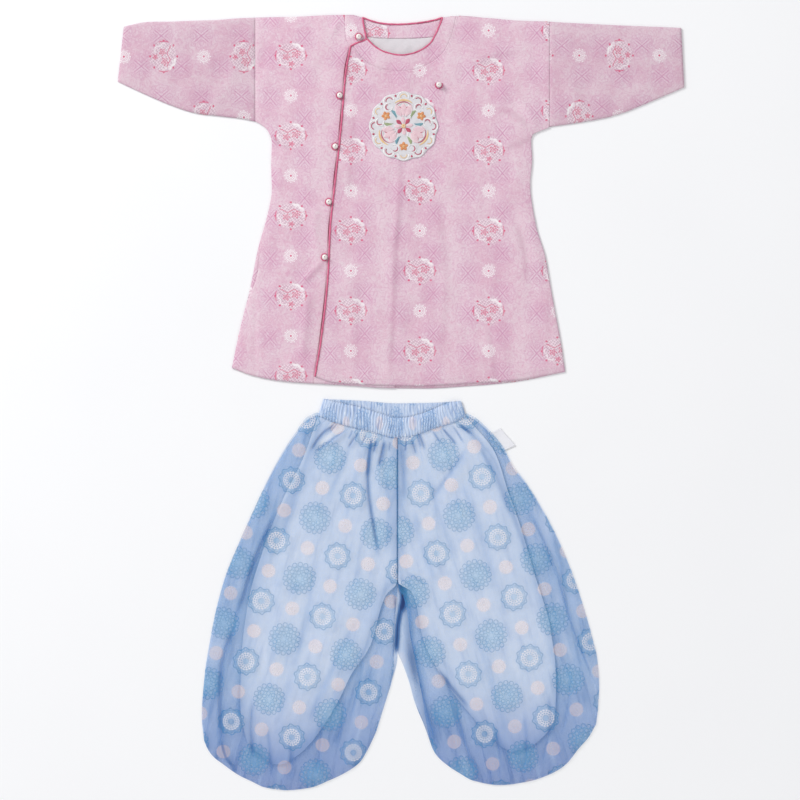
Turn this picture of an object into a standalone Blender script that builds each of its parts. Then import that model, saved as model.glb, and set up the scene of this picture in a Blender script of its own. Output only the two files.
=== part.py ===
"""A child's hanfu set laid flat: a round-collar top above lined lantern trousers.

Sizes are in millimetres. x grows to the wearer's left, "down" runs from a garment's
top edge towards its hem, and z is the height over the surface that it lies on.
Left and right in the names are the wearer's. Each sub-part is one closed solid.
"""
import math
from collections import namedtuple

import bmesh
import bpy
import numpy as np

METRE = 0.001

# Cloth and stacking
WALL = 1.0
GAP = 0.3
LAYER = WALL + GAP
FILM = 0.45

# Where the two garments lie, as the y of each garment's top edge
TOP_Y = 620.0
TROUSER_Y = 5.6

# How the flat cloth rises from its rounded edges
TOP_PUFF = 2.2
TOP_ROLL = 9.0
LEG_PUFF = 5.0
LEG_ROLL = 8.0

Point = namedtuple("Point", "x down")
Cuffward = namedtuple("Cuffward", "top_x top_down under_x under_down")
Fold = namedtuple("Fold", "x0 down0 x1 down1 x2 down2 width rise")

# Body of the top, from the ends of the sleeve seams to the hem
BODY_WEST = (
    Point(-232.8, 4.6), Point(-232.8, 170.5), Point(-224, 175.5), Point(-215, 183),
    Point(-209.5, 192.5), Point(-206.4, 205), Point(-207.5, 240), Point(-206.4, 280),
    Point(-213, 318), Point(-229, 376), Point(-238.4, 424), Point(-259, 510),
    Point(-270.4, 565),
)
BODY_EAST = (
    Point(237.6, 11), Point(237.6, 179), Point(227, 184), Point(211, 191),
    Point(208, 202), Point(209.5, 232), Point(206.5, 270), Point(216, 338),
    Point(230.5, 386), Point(240, 440), Point(257.5, 536), Point(262.4, 571),
)
SHOULDER_WEST = (
    Point(-232.8, 4.6), Point(-162, 3), Point(-112, 0.5), Point(-78, 0), Point(-62, 4.5),
)
SHOULDER_EAST = (
    Point(67, 4.5), Point(94, 1.5), Point(142, 5.5), Point(190, 9.5), Point(237.6, 11),
)
BACK_NECK = (
    Point(-62, 4.5), Point(-47, 10), Point(-30, 14), Point(-5, 15.5), Point(25, 13.5),
    Point(50, 9.5), Point(67, 4.5),
)
HEM = (
    Point(-270.4, 565), Point(-235, 577.5), Point(-189, 586), Point(-82, 593),
    Point(-21, 597), Point(37, 597.5), Point(104, 594), Point(181, 587), Point(262.4, 571),
)
OUTER_HEM = (
    Point(-137, 579), Point(-109, 588), Point(-29, 592.5), Point(24, 593.5),
    Point(104, 590), Point(181, 585), Point(262.4, 571),
)

# Closing edge, collar and neckline of the outer front
PLACKET = (
    Point(-79.5, 51), Point(-87, 90), Point(-95, 180), Point(-105, 272), Point(-112, 337),
    Point(-116, 418), Point(-127, 520), Point(-137, 579),
)
COLLAR_SEAM = (
    Point(-76.5, 49.5), Point(-69, 60), Point(-60.5, 70), Point(-46, 80), Point(-26, 87.5),
    Point(0, 90), Point(24, 87.5), Point(45.6, 78), Point(66, 62), Point(78, 41),
    Point(84, 22), Point(88, 2.5),
)
FRONT_NECK = (
    Point(-54, 40), Point(-42, 51.5), Point(-26, 60.5), Point(0, 65.5), Point(25, 60.5),
    Point(45.6, 47.5), Point(56, 31), Point(63, 15), Point(67, 4.5),
)
PIPE_CORNER = (Point(-56, 41), Point(-66, 45), Point(-75, 48.6), Point(-79, 51))
COLLAR_COLUMNS = 22
OUTER_ROWS = 24
SIDE_HUG = 4
SHOULDER_NECK = (Point(-62, 4.5), Point(-60, 17), Point(-56, 37))
SHOULDER_SEAM = (Point(-88.5, 1), Point(-88, 22), Point(-84, 40))

# Hidden edge of the under front, which shows as a soft line down the outer one
UNDER_NECK = (
    Point(-90, 1), Point(-89.5, 22), Point(-87.5, 42), Point(-77, 51), Point(-61, 72),
    Point(-46.5, 82), Point(-26, 90),
)
UNDER_EDGE = (
    Point(2, 97), Point(8, 170), Point(2, 300), Point(-9, 370), Point(-10, 500),
    Point(-10, 597),
)
UNDER_MARGIN = 20.0
UNDER_FALL = 7.0
SLIT_TOP = 345.0
SLIT_END = 474.0
SLIT_INSET = 7.0

RIGHT_SLEEVE = (
    Cuffward(-232.8, 4.6, -232.8, 170.5), Cuffward(-260, 5.6, -260, 165.5),
    Cuffward(-290, 8, -290, 162), Cuffward(-330, 9.5, -330, 157),
    Cuffward(-370, 11, -370, 144), Cuffward(-410, 12, -412, 126),
    Cuffward(-443, 19, -452.8, 107),
)
LEFT_SLEEVE = (
    Cuffward(237.6, 11, 237.6, 179), Cuffward(270, 13, 270, 174.5),
    Cuffward(310, 15, 310, 168), Cuffward(350, 17, 350, 158.5),
    Cuffward(400, 19, 400, 138.5), Cuffward(448, 21, 452.8, 116),
)

# Each sleeve is a flattened tube: the places across it, and how its two edges fold
SLEEVE_STATIONS = 9
SLEEVE_ACROSS = (0, 0.03, 0.1, 0.22, 0.36, 0.5, 0.64, 0.78, 0.9, 0.97, 1)
FOLD_HIGH = 0.62
FOLD_LOW = 0.3
HOLLOW = 0.5
HOLLOW_EDGE_HIGH = 0.35
HOLLOW_EDGE_LOW = 0.1

UNDER_FOLDS = (
    Fold(-97, 6, -103, 16, -110, 30, 5, 1.4),
    Fold(-206, 196, -198, 204, -190, 210, 6, -1.0),
    Fold(-122, 394, -138, 410, -156, 430, 6, 1.6),
    Fold(-134, 300, -138, 345, -130, 384, 7, 1.2),
    Fold(-146, 440, -150, 500, -156, 556, 10, 1.4),
)
OUTER_FOLDS = (
    Fold(2, 250, -4, 320, -12, 372, 5, 1.2),
    Fold(-10, 380, -12, 440, -4, 520, 10, 1.0),
    Fold(222, 190, 200, 150, 180, 120, 7, 1.2),
    Fold(210, 300, 216, 360, 226, 420, 9, 1.2),
    Fold(120, 470, 150, 520, 160, 575, 14, 1.2),
)

# Pearl buttons: where each lies, and the way its loop opens
Button = namedtuple("Button", "name x down loop_x loop_down")
BUTTONS = (
    Button("1", -67.5, 36.0, 0.35, 0.94),
    Button("2", -97.8, 129.6, 1.0, 0.0),
    Button("3", -105.0, 211.0, 1.0, 0.0),
    Button("4", -115.2, 299.7, 1.0, 0.0),
    Button("5", -121.8, 388.0, 1.0, 0.0),
    Button("chest", 60.5, 112.8, 0.0, -1.0),
)
PEARL_R = 4.5
PEARL_FOOT = 2.5
LOOP_R = 0.9
LOOP_TURN = 5.6
LOOP_HALF_ANGLE = 122
PIPE_R = 1.2
EDGE_LIFT = 2.6
EDGE_LIFT_REACH = 16.0

# Scalloped medallion on the chest
MEDALLION = Point(4.2, 178.6)
MEDALLION_R = 55.5
SCALLOPS = 12
SCALLOP_DEPTH = 2.6
SECTORS_PER_SCALLOP = 3
RELIEF = 0.7
Ring = namedtuple("Ring", "share relief")
MEDALLION_RINGS = (Ring(0.16, 0.9), Ring(0.45, 0.2), Ring(0.78, 0.9), Ring(1.0, 0.0))

# Trousers: elastic band, as its top line and the seam under it
BAND_FRONT_TOP = (
    Point(-124, 0), Point(-102, 5), Point(-62, 14), Point(-24, 26), Point(-6, 30),
    Point(11, 29), Point(28, 25), Point(54, 15), Point(76, 6), Point(96, 3),
)
BAND_FRONT_SEAM = (
    Point(-133, 27), Point(-102, 39), Point(-76, 46), Point(-42, 54), Point(-10, 62),
    Point(11, 61.5), Point(37, 53), Point(62, 44.5), Point(89, 36), Point(104, 28),
)
BAND_BACK_TOP = (
    Point(-124, 0), Point(-62, 3), Point(-7, 7), Point(56, 6), Point(96, 3),
)
BAND_BACK_SEAM = (
    Point(-133, 27), Point(-98, 34), Point(-7, 40), Point(70, 35), Point(104, 28),
)
BAND_GATHERS = 48
BAND_ROWS = (0.0, 0.5, 1.0)
BAND_WALL = 1.6
BAND_WAVE = 0.8
BAND_RISE = 6.2
BAND_SWELL = 0.5
BAND_EDGE_POWER = 14
BAND_END_SHARE = 1 / 60

# Legs: outer edge, inner edge under the crotch, and the rounded foot
CENTRE_SEAM = -5.6
FRONT_CROTCH = 309.0
BACK_CROTCH = 411.0
LEG_WEST = (
    Point(-136, 28.5), Point(-149, 34.5), Point(-168, 59), Point(-186, 85),
    Point(-214, 136), Point(-238, 187), Point(-261, 238), Point(-282, 290),
    Point(-296, 341), Point(-306, 392), Point(-314, 443), Point(-318.5, 508),
    Point(-315, 545.5),
)
LEG_EAST = (
    Point(107, 29.5), Point(115, 33.5), Point(131, 46), Point(165, 85), Point(178, 110),
    Point(198, 136), Point(230, 187), Point(256, 238), Point(277, 290), Point(294, 341),
    Point(305, 380), Point(314, 418), Point(317, 456), Point(315, 495), Point(312, 520),
)
INSEAM_WEST = (
    Point(-6, 309), Point(-9, 345), Point(-11.5, 385), Point(-11.5, 425), Point(-16, 456),
    Point(-24, 482), Point(-40, 533),
)
INSEAM_EAST = (
    Point(1.6, 312), Point(16, 386), Point(32, 466), Point(41.6, 522), Point(45, 540),
)
BACK_INSEAM_EAST = (
    Point(-3, 411), Point(5, 430), Point(14, 456), Point(21, 482), Point(32, 507),
    Point(45, 542),
)
FOOT_WEST = (
    Point(-315, 545.5), Point(-310, 558), Point(-301, 571), Point(-283, 585),
    Point(-262, 600), Point(-240, 611), Point(-216, 621.5), Point(-182, 625.6),
    Point(-147, 622), Point(-115, 610), Point(-88, 597), Point(-66, 581),
    Point(-53, 560), Point(-40, 533),
)
FOOT_EAST = (
    Point(45, 542), Point(50, 558), Point(58, 571), Point(72, 584), Point(93, 598),
    Point(115, 610), Point(158, 617.5), Point(200, 612.5), Point(245, 597), Point(264, 584),
    Point(285, 558), Point(300, 541), Point(312, 520),
)
LEG_GATHERS = 24
GATHER_RISE = 0.9
GATHER_FADE = 24.0
SEAM_DIP = 1.6
SEAM_DIP_WIDTH = 4.0
BAND_CLEAR = 0.5

# White lining that shows through the thin cloth of each leg, and how the cloth clears it
LINING_Z = 2 * LAYER
LINING_CLEAR = 0.15
LINING_EDGE = 2.0
LINING_RAMP = 8.0
LINING_WEST = (
    Point(-132, 44), Point(-160, 118), Point(-187.5, 171), Point(-219, 248),
    Point(-243.5, 329), Point(-255, 418), Point(-257, 486), Point(-246, 549),
    Point(-205, 584), Point(-187, 584), Point(-159, 564), Point(-131, 531), Point(-98, 475),
    Point(-80, 437), Point(-50, 390), Point(-24, 305), Point(-7, 285),
)
LINING_EAST = (
    Point(103, 44), Point(150, 100), Point(171, 160), Point(190, 212), Point(212, 284),
    Point(239, 374), Point(248, 454), Point(246, 508), Point(214, 552), Point(178, 565),
    Point(160, 556), Point(124, 518), Point(93, 480), Point(61, 433), Point(36, 380),
    Point(17, 300), Point(-4.4, 285),
)

WEST_FOLDS = (
    Fold(-48, 66, -53, 140, -34, 245, 4.5, -2.0),
    Fold(-37, 66, -35, 115, -30, 165, 6, 1.8),
    Fold(-64, 64, -68, 120, -62, 200, 9, 2.0),
    Fold(-104, 44, -118, 56, -132, 66, 4, -1.4),
    Fold(-86, 50, -100, 62, -116, 70, 5, 1.8),
    Fold(-188, 200, -210, 330, -222, 500, 8, -1.8),
    Fold(-172, 190, -192, 330, -206, 500, 10, 2.2),
    Fold(-38, 262, -112, 375, -160, 485, 13, 3.2),
    Fold(-26, 322, -84, 412, -142, 500, 9, 2.2),
    Fold(-113, 200, -150, 330, -168, 440, 8, -1.4),
    Fold(-164, 430, -186, 515, -211, 560, 7, 2.0),
    Fold(-222, 226, -262, 352, -286, 405, 6, -1.8),
    Fold(-286, 405, -288, 470, -287, 530, 5, -1.8),
    Fold(-280, 420, -278, 480, -276, 530, 6, 1.5),
)
EAST_FOLDS = (
    Fold(106, 78, 78, 118, 50, 158, 4.5, -2.0),
    Fold(114, 84, 88, 128, 62, 168, 8, 2.8),
    Fold(28, 66, 34, 84, 46, 96, 5, 1.6),
    Fold(7, 66, 9, 110, 8, 180, 7, 1.8),
    Fold(9, 278, 24, 286, 43, 297, 5, -1.8),
    Fold(12, 268, 34, 276, 62, 286, 7, 1.8),
    Fold(61, 300, 105, 380, 147, 448, 11, 3.0),
    Fold(147, 448, 160, 475, 176, 505, 8, 2.2),
    Fold(34, 335, 62, 368, 98, 396, 8, 2.0),
    Fold(57, 430, 82, 462, 108, 492, 4, -1.8),
    Fold(136, 405, 156, 430, 172, 452, 6, 1.6),
    Fold(181, 118, 194, 160, 206, 182, 6, -2.2),
    Fold(206, 182, 243, 248, 282, 350, 6, -2.0),
    Fold(152, 240, 166, 275, 176, 320, 6, -1.6),
    Fold(166, 508, 178, 526, 186, 540, 5, 1.8),
    Fold(196, 520, 208, 540, 216, 552, 5, 1.6),
)

BackTop = namedtuple("BackTop", "right left")
BACK_TOP_X = BackTop((-40, -98, -130), (30, 70, 100))
LINING_TOP_X = BackTop((-7, -42, -76, -102), (-4.4, 37, 62, 89))

TAG = (Point(140.7, 56.1), Point(159.5, 46.9), Point(183, 74.2), Point(164.4, 83.2))

Finish = namedtuple("Finish", "red green blue roughness metallic")
FINISHES = {
    "pink_print": Finish(0.78, 0.55, 0.66, 0.8, 0.0),
    "piping": Finish(0.72, 0.16, 0.28, 0.35, 0.0),
    "pearl": Finish(0.9, 0.87, 0.82, 0.2, 0.0),
    "medallion": Finish(0.86, 0.8, 0.76, 0.6, 0.0),
    "lining": Finish(0.85, 0.85, 0.86, 0.85, 0.0),
    "sheer_blue": Finish(0.38, 0.56, 0.8, 0.5, 0.0),
    "tag": Finish(0.9, 0.9, 0.9, 0.5, 0.0),
}


def clear_scene():
    for old in list(bpy.data.objects):
        bpy.data.objects.remove(old)


def curve(points, across=False):
    """Smooth function through the points that never overshoots: x of down, or down of x."""
    keys = np.array([p.x if across else p.down for p in points], float)
    vals = np.array([p.down if across else p.x for p in points], float)
    step = np.diff(keys)
    slope = np.diff(vals) / step
    tangent = np.zeros(len(keys))
    tangent[0], tangent[-1] = slope[0], slope[-1]
    for i in range(1, len(keys) - 1):
        if slope[i - 1] * slope[i] > 0:
            w0 = 2 * step[i] + step[i - 1]
            w1 = step[i] + 2 * step[i - 1]
            tangent[i] = (w0 + w1) / (w0 / slope[i - 1] + w1 / slope[i])

    def value(at):
        at = np.clip(at, keys[0], keys[-1])
        i = np.clip(np.searchsorted(keys, at) - 1, 0, len(step) - 1)
        t = (at - keys[i]) / step[i]
        rest = 1 - t
        return ((1 + 2 * t) * rest ** 2 * vals[i] + t * rest ** 2 * step[i] * tangent[i]
                + t ** 2 * (3 - 2 * t) * vals[i + 1] - t ** 2 * rest * step[i] * tangent[i + 1])
    return value


def smooth_path(points, count):
    """Points evenly spaced along a smooth line through the given ones."""
    pts = np.array([(p.x, p.down) for p in points], float)
    tangent = np.gradient(pts, axis=0)
    fine = []
    for i in range(len(pts) - 1):
        for t in np.linspace(0, 1, 9)[:-1]:
            rest = 1 - t
            fine.append((1 + 2 * t) * rest ** 2 * pts[i] + t * rest ** 2 * tangent[i]
                        + t ** 2 * (3 - 2 * t) * pts[i + 1] - t ** 2 * rest * tangent[i + 1])
    fine = np.array(fine + [pts[-1]])
    run = np.concatenate([[0], np.cumsum(np.hypot(*np.diff(fine, axis=0).T))])
    at = np.linspace(0, run[-1], count)
    return np.column_stack([np.interp(at, run, fine[:, 0]), np.interp(at, run, fine[:, 1])])


def distance(x, down, path):
    """Distance from points to a polyline, and how far along it the nearest place lies."""
    start, leg = path[:-1], np.diff(path, axis=0)
    rel = np.stack([x, down], -1)[..., None, :] - start
    length2 = np.maximum((leg ** 2).sum(-1), 1e-9)
    t = np.clip((rel * leg).sum(-1) / length2, 0, 1)
    away = np.linalg.norm(rel - t[..., None] * leg, axis=-1)
    near = away.argmin(-1)
    along = (near + np.take_along_axis(t, near[..., None], -1)[..., 0]) / len(leg)
    return away.min(-1), along


def folds(x, down, rows):
    """Sum of soft ridges and troughs, each with tapered ends."""
    total = np.zeros_like(x)
    for row in rows:
        bend = [Point(row.x0, row.down0), Point(row.x1, row.down1), Point(row.x2, row.down2)]
        away, along = distance(x, down, smooth_path(bend, 9))
        taper = np.clip(np.minimum(along, 1 - along) * 5 + 0.12, 0, 1)
        total = total + row.rise * taper * np.exp(-(away / row.width) ** 2)
    return total


def panel_grid(west, east, top, foot, west_span, east_span, us, vs, hug=1):
    """Grid of a panel between two side curves and two end curves.

    A higher hug keeps the bends of a side curve to the columns beside it.
    """
    x_top = west(west_span[0]) + (east(east_span[0]) - west(west_span[0])) * us
    x_foot = west(west_span[1]) + (east(east_span[1]) - west(west_span[1])) * us
    down_top, down_foot = top(x_top), foot(x_foot)
    rows_x, rows_down = [], []
    for v in vs:
        x_w = west(west_span[0] + (west_span[1] - west_span[0]) * v)
        x_e = east(east_span[0] + (east_span[1] - east_span[0]) * v)
        plain = x_top + (x_foot - x_top) * v
        rows_x.append(plain + (x_w - plain[0]) * (1 - us) ** hug + (x_e - plain[-1]) * us ** hug)
        rows_down.append(down_top + (down_foot - down_top) * v)
    return np.array(rows_x), np.array(rows_down)


def make_object(name, verts, faces, finish):
    """Object from millimetre points, triangulated, with outward normals."""
    mesh = bpy.data.meshes.new(name)
    mesh.from_pydata([tuple(float(c) * METRE for c in v) for v in verts], [], faces)
    work = bmesh.new()
    work.from_mesh(mesh)
    bmesh.ops.triangulate(work, faces=work.faces[:], ngon_method="BEAUTY")
    bmesh.ops.recalc_face_normals(work, faces=work.faces[:])
    work.to_mesh(mesh)
    work.free()
    material = bpy.data.materials.new(name)
    material.use_nodes = True
    look = FINISHES[finish]
    shade = material.node_tree.nodes["Principled BSDF"]
    shade.inputs["Base Color"].default_value = (look.red, look.green, look.blue, 1)
    shade.inputs["Roughness"].default_value = look.roughness
    shade.inputs["Metallic"].default_value = look.metallic
    mesh.materials.append(material)
    obj = bpy.data.objects.new(name, mesh)
    bpy.context.scene.collection.objects.link(obj)
    return obj


def panel(name, x, down, low, origin_y, finish, wall=WALL, high=None):
    """Wall over a grid: low is its lower surface, and high its upper one."""
    rows, cols = x.shape
    y = origin_y - down
    upper = low + wall if high is None else high
    verts = [p for z in (low, upper) for p in zip(x.ravel(), y.ravel(), z.ravel())]
    half = rows * cols

    def at(r, c, layer):
        return layer * half + r * cols + c
    faces = []
    for r in range(rows - 1):
        for c in range(cols - 1):
            ring = ((r, c), (r, c + 1), (r + 1, c + 1), (r + 1, c))
            if (r + c) % 2:
                ring = ring[1:] + ring[:1]
            a, b, d, e = ring
            for layer in (0, 1):
                faces.append([at(*p, layer) for p in (a, b, d)])
                faces.append([at(*p, layer) for p in (a, d, e)])
    rim = ([(0, c) for c in range(cols)] + [(r, cols - 1) for r in range(1, rows)]
           + [(rows - 1, c) for c in range(cols - 2, -1, -1)]
           + [(r, 0) for r in range(rows - 2, 0, -1)])
    for p, q in zip(rim, rim[1:] + rim[:1]):
        faces.append([at(*p, 0), at(*q, 0), at(*q, 1), at(*p, 1)])
    return make_object(name, verts, faces, finish)


def plate(name, outline, z, origin_y, finish, wall=WALL):
    """Flat cloth with the outline's shape."""
    count = len(outline)
    verts = [(x, origin_y - down, level) for level in (z, z + wall) for x, down in outline]
    faces = [list(range(count)), list(range(count, 2 * count))]
    for i in range(count):
        j = (i + 1) % count
        faces.append([i, j, count + j, count + i])
    return make_object(name, verts, faces, finish)


def tube(name, centres, radius, finish, sides=6):
    """Round cord through 3-D centres, with flat ends."""
    pts = np.array(centres, float)
    way = np.gradient(pts, axis=0)
    way /= np.linalg.norm(way, axis=1)[:, None]
    across = np.cross(way, (0, 0, 1.0))
    across /= np.linalg.norm(across, axis=1)[:, None]
    rise = np.cross(across, way)
    verts = []
    for centre, a, b in zip(pts, across, rise):
        for k in range(sides):
            turn = math.tau * (k + 0.5) / sides
            verts.append(centre + radius * (a * math.cos(turn) + b * math.sin(turn)))
    faces = [list(range(sides)), list(range(len(verts) - sides, len(verts)))]
    for i in range(len(pts) - 1):
        for k in range(sides):
            j = (k + 1) % sides
            faces.append([i * sides + k, i * sides + j, (i + 1) * sides + j, (i + 1) * sides + k])
    return make_object(name, verts, faces, finish)


def as_path(points):
    return np.array([(p.x, p.down) for p in points], float)


def sleeve_edges(rows):
    top = [Point(r.top_x, r.top_down) for r in rows]
    under = [Point(r.under_x, r.under_down) for r in rows]
    return top, under


def top_outline():
    """Outer edge of the whole top, open at the neck."""
    right_top, right_under = sleeve_edges(RIGHT_SLEEVE)
    left_top, left_under = sleeve_edges(LEFT_SLEEVE)
    line = list(reversed(SHOULDER_WEST)) + right_top[1:] + right_under[::-1]
    line += list(BODY_WEST[2:]) + list(HEM[1:-1]) + list(reversed(BODY_EAST[2:]))
    line += left_under + left_top[::-1][:-1] + list(reversed(SHOULDER_EAST))
    return as_path(line)


TOP_OUTLINE = top_outline()


def top_lift(x, down, rows=()):
    """Height of the cloth over its lowest place, from its rounded edge and its folds."""
    away, _ = distance(x, down, TOP_OUTLINE)
    puff = 1 - np.exp(-away / TOP_ROLL)
    return (TOP_PUFF + folds(x, down, rows)) * puff


def under_low(x, down):
    return LAYER + top_lift(x, down, UNDER_FOLDS)


def over_under(x, down):
    """One where the outer front lies on the under front, falling to none past its edge."""
    edge = curve(UNDER_EDGE)(down)
    return 1 / (1 + np.exp((x - edge - UNDER_MARGIN) / UNDER_FALL))


def edge_lift(x, down):
    """Rise of the closing edge between its buttons."""
    path = smooth_path(PLACKET, 40)
    away, _ = distance(x, down, path)
    held = [b.down for b in BUTTONS[:-1]] + [PLACKET[-1].down]
    between = np.zeros_like(x)
    for upper, lower in zip(held, held[1:]):
        t = np.clip((down - upper) / (lower - upper), 0, 1)
        between = np.maximum(between, np.sin(math.pi * t) ** 2)
    return EDGE_LIFT * between * np.exp(-away / EDGE_LIFT_REACH)


def outer_low(x, down):
    lie = LAYER + top_lift(x, down, OUTER_FOLDS)
    return lie + (LAYER + FILM) * over_under(x, down) + edge_lift(x, down)


def front_slit(down):
    t = np.clip((down - SLIT_TOP) / (SLIT_END - SLIT_TOP), 0, 1)
    return SLIT_INSET * np.sin(math.pi * t) ** 2


def build_top_body():
    outline = [p for part in (
        smooth_path(SHOULDER_WEST, 6)[:-1], smooth_path(BACK_NECK, 9)[:-1],
        smooth_path(SHOULDER_EAST, 6)[:-1], as_path(BODY_EAST), as_path(HEM)[::-1][1:-1],
        as_path(BODY_WEST)[::-1][:-1]) for p in part]
    plate("top_back", outline, 0.0, TOP_Y, "pink_print")

    west_curve = curve(BODY_WEST)

    def west(down):
        return west_curve(down) + front_slit(down)
    us = np.linspace(0, 1, 13) ** 0.9
    downs = [p.down - 1 for p in UNDER_NECK + UNDER_EDGE[:1]]
    vs = np.concatenate([np.array(downs) / 595, np.linspace(0.21, 1, 13)])
    shoulder = curve(SHOULDER_WEST[:4], across=True)
    x, down = panel_grid(west, curve(UNDER_NECK + UNDER_EDGE), shoulder,
                         curve(HEM, across=True), (5, 565), (1, 596), us, vs, SIDE_HUG)
    panel("top_front_right", x, down, under_low(x, down), TOP_Y, "pink_print")

    seam = smooth_path(COLLAR_SEAM, COLLAR_COLUMNS)[1:]
    shoulder = as_path(SHOULDER_EAST[2:])
    start, end = PLACKET[0], BODY_EAST[0]
    top = np.vstack([[start.x, start.down], seam, shoulder])
    us = (top[:, 0] - start.x) / (end.x - start.x)
    us = np.sort(np.concatenate([us, (us[-3:] + us[-4:-1]) / 2]))
    x, down = panel_grid(curve(PLACKET), curve(BODY_EAST),
                         lambda a: np.interp(a, top[:, 0], top[:, 1]),
                         curve(OUTER_HEM, across=True), (start.down, 579), (11, 571),
                         us, np.linspace(0, 1, OUTER_ROWS), SIDE_HUG)
    panel("top_front_left", x, down, outer_low(x, down), TOP_Y, "pink_print")


def flat_ring(line, upper, lower):
    """Section of a flattened tube: out along its upper side and back along its lower one."""
    ring = [(p[0], p[1], z) for p, z in zip(line, upper)]
    return ring + [(p[0], p[1], z) for p, z in zip(line[::-1], lower[::-1])]


def build_sleeve(name, rows, sign):
    """Flattened tube: its lower wall is flat, and its upper one rises from both edges."""
    top_line, under_line = (smooth_path(edge, SLEEVE_STATIONS) for edge in sleeve_edges(rows))
    top_line[0, 0] += sign * GAP
    under_line[0, 0] += sign * GAP
    across = np.array(SLEEVE_ACROSS)
    outer, inner = [], []
    for a, b in zip(top_line, under_line):
        line = a + (b - a) * across[:, None]
        inset = WALL / np.hypot(*(b - a))
        inside = a + (b - a) * np.clip(across, inset, 1 - inset)[:, None]
        high = 2 * LAYER + top_lift(line[:, 0], line[:, 1])
        low = np.zeros(len(across))
        roof = np.maximum(high - WALL, WALL + HOLLOW)
        floor = np.full(len(across), WALL)
        for edge in (0, -1):
            high[edge] = 2 * LAYER * FOLD_HIGH
            low[edge] = 2 * LAYER * FOLD_LOW
            roof[edge] = WALL + HOLLOW_EDGE_HIGH
            floor[edge] = WALL + HOLLOW_EDGE_LOW
        outer.append(flat_ring(line, high, low))
        inner.append(flat_ring(inside, roof, floor))
    loft_tube(name, outer, inner, TOP_Y, "pink_print")


def loft_tube(name, outer, inner, origin_y, finish):
    """Wall between two sets of rings, open at both ends."""
    count, size = len(outer), len(outer[0])
    verts = [(x, origin_y - down, z) for rings in (outer, inner) for ring in rings
             for x, down, z in ring]
    skin = count * size
    faces = []
    for i in range(count - 1):
        for k in range(size):
            j = (k + 1) % size
            for base in (0, skin):
                a, b = base + i * size, base + (i + 1) * size
                faces.append([a + k, a + j, b + j])
                faces.append([a + k, b + j, b + k])
    for i in (0, count - 1):
        for k in range(size):
            j = (k + 1) % size
            a, b = i * size, skin + i * size
            faces.append([a + k, a + j, b + j, b + k])
    return make_object(name, verts, faces, finish)


def shifted(path, shift):
    """The path moved sideways: to its left as it runs, for a positive shift."""
    way = np.gradient(path, axis=0)
    way /= np.linalg.norm(way, axis=1)[:, None]
    return path + np.column_stack([way[:, 1], -way[:, 0]]) * shift


def strip_grid(inner, outer, rows):
    t = np.linspace(0, 1, rows)[:, None]
    x = inner[None, :, 0] * (1 - t) + outer[None, :, 0] * t
    down = inner[None, :, 1] * (1 - t) + outer[None, :, 1] * t
    return x, down


def build_collar():
    seam = shifted(smooth_path(COLLAR_SEAM, COLLAR_COLUMNS), GAP)
    x, down = strip_grid(smooth_path(FRONT_NECK, COLLAR_COLUMNS), seam, 4)
    panel("collar_front", x, down, outer_low(x, down), TOP_Y, "pink_print")
    x, down = strip_grid(smooth_path(SHOULDER_NECK, 6), smooth_path(SHOULDER_SEAM, 6), 4)
    panel("collar_shoulder", x, down, under_low(x, down), TOP_Y, "pink_print")

    upper = as_path(BACK_NECK[1:-1]) + (0, 2.4)
    facing = np.array([(-56, 16.0), *upper[1:-1], (60, 16.0), (57, 30), (48, 36),
                       (20, 37.5), (-5, 38), (-30, 37.5), (-47, 36), (-53, 30)])
    plate("back_facing", facing, LAYER, TOP_Y, "pink_print")
    lining = np.array([(-47.5, 36.6), (-30, 38.1), (-5, 38.6), (20, 38.1), (48.5, 36.6),
                       (62, 48), (66, 70), (60, 105), (30, 120), (-30, 120), (-58, 105),
                       (-64, 70), (-60, 48)])
    plate("back_lining", lining, LAYER, TOP_Y, "lining")


def pipe_on(path, low, shift, lift=PIPE_R):
    """Centres of a cord along an edge, moved sideways off it and up on its panel."""
    place = shifted(path, shift)
    z = low(path[:, 0], path[:, 1]) + lift
    return np.column_stack([place[:, 0], TOP_Y - place[:, 1], z])


def build_piping():
    clear = PIPE_R + GAP
    neck = smooth_path(FRONT_NECK, 24)
    tube("piping_neck_front", pipe_on(neck, outer_low, clear), PIPE_R, "piping")
    shoulder = smooth_path(SHOULDER_NECK, 6)[:-1]
    tube("piping_neck_shoulder", pipe_on(shoulder, under_low, clear), PIPE_R, "piping")
    back = smooth_path(BACK_NECK, 16)[1:-1]
    tube("piping_neck_back", pipe_on(back, lambda x, d: 0 * x, clear), PIPE_R, "piping")
    downs = np.linspace(PLACKET[0].down, PLACKET[-1].down, OUTER_ROWS)
    edge = np.column_stack([curve(PLACKET)(downs), downs])
    closing = np.vstack([smooth_path(PIPE_CORNER, 6)[:-1], edge])
    tube("piping_placket", pipe_on(closing, outer_low, -clear), PIPE_R, "piping")


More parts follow.
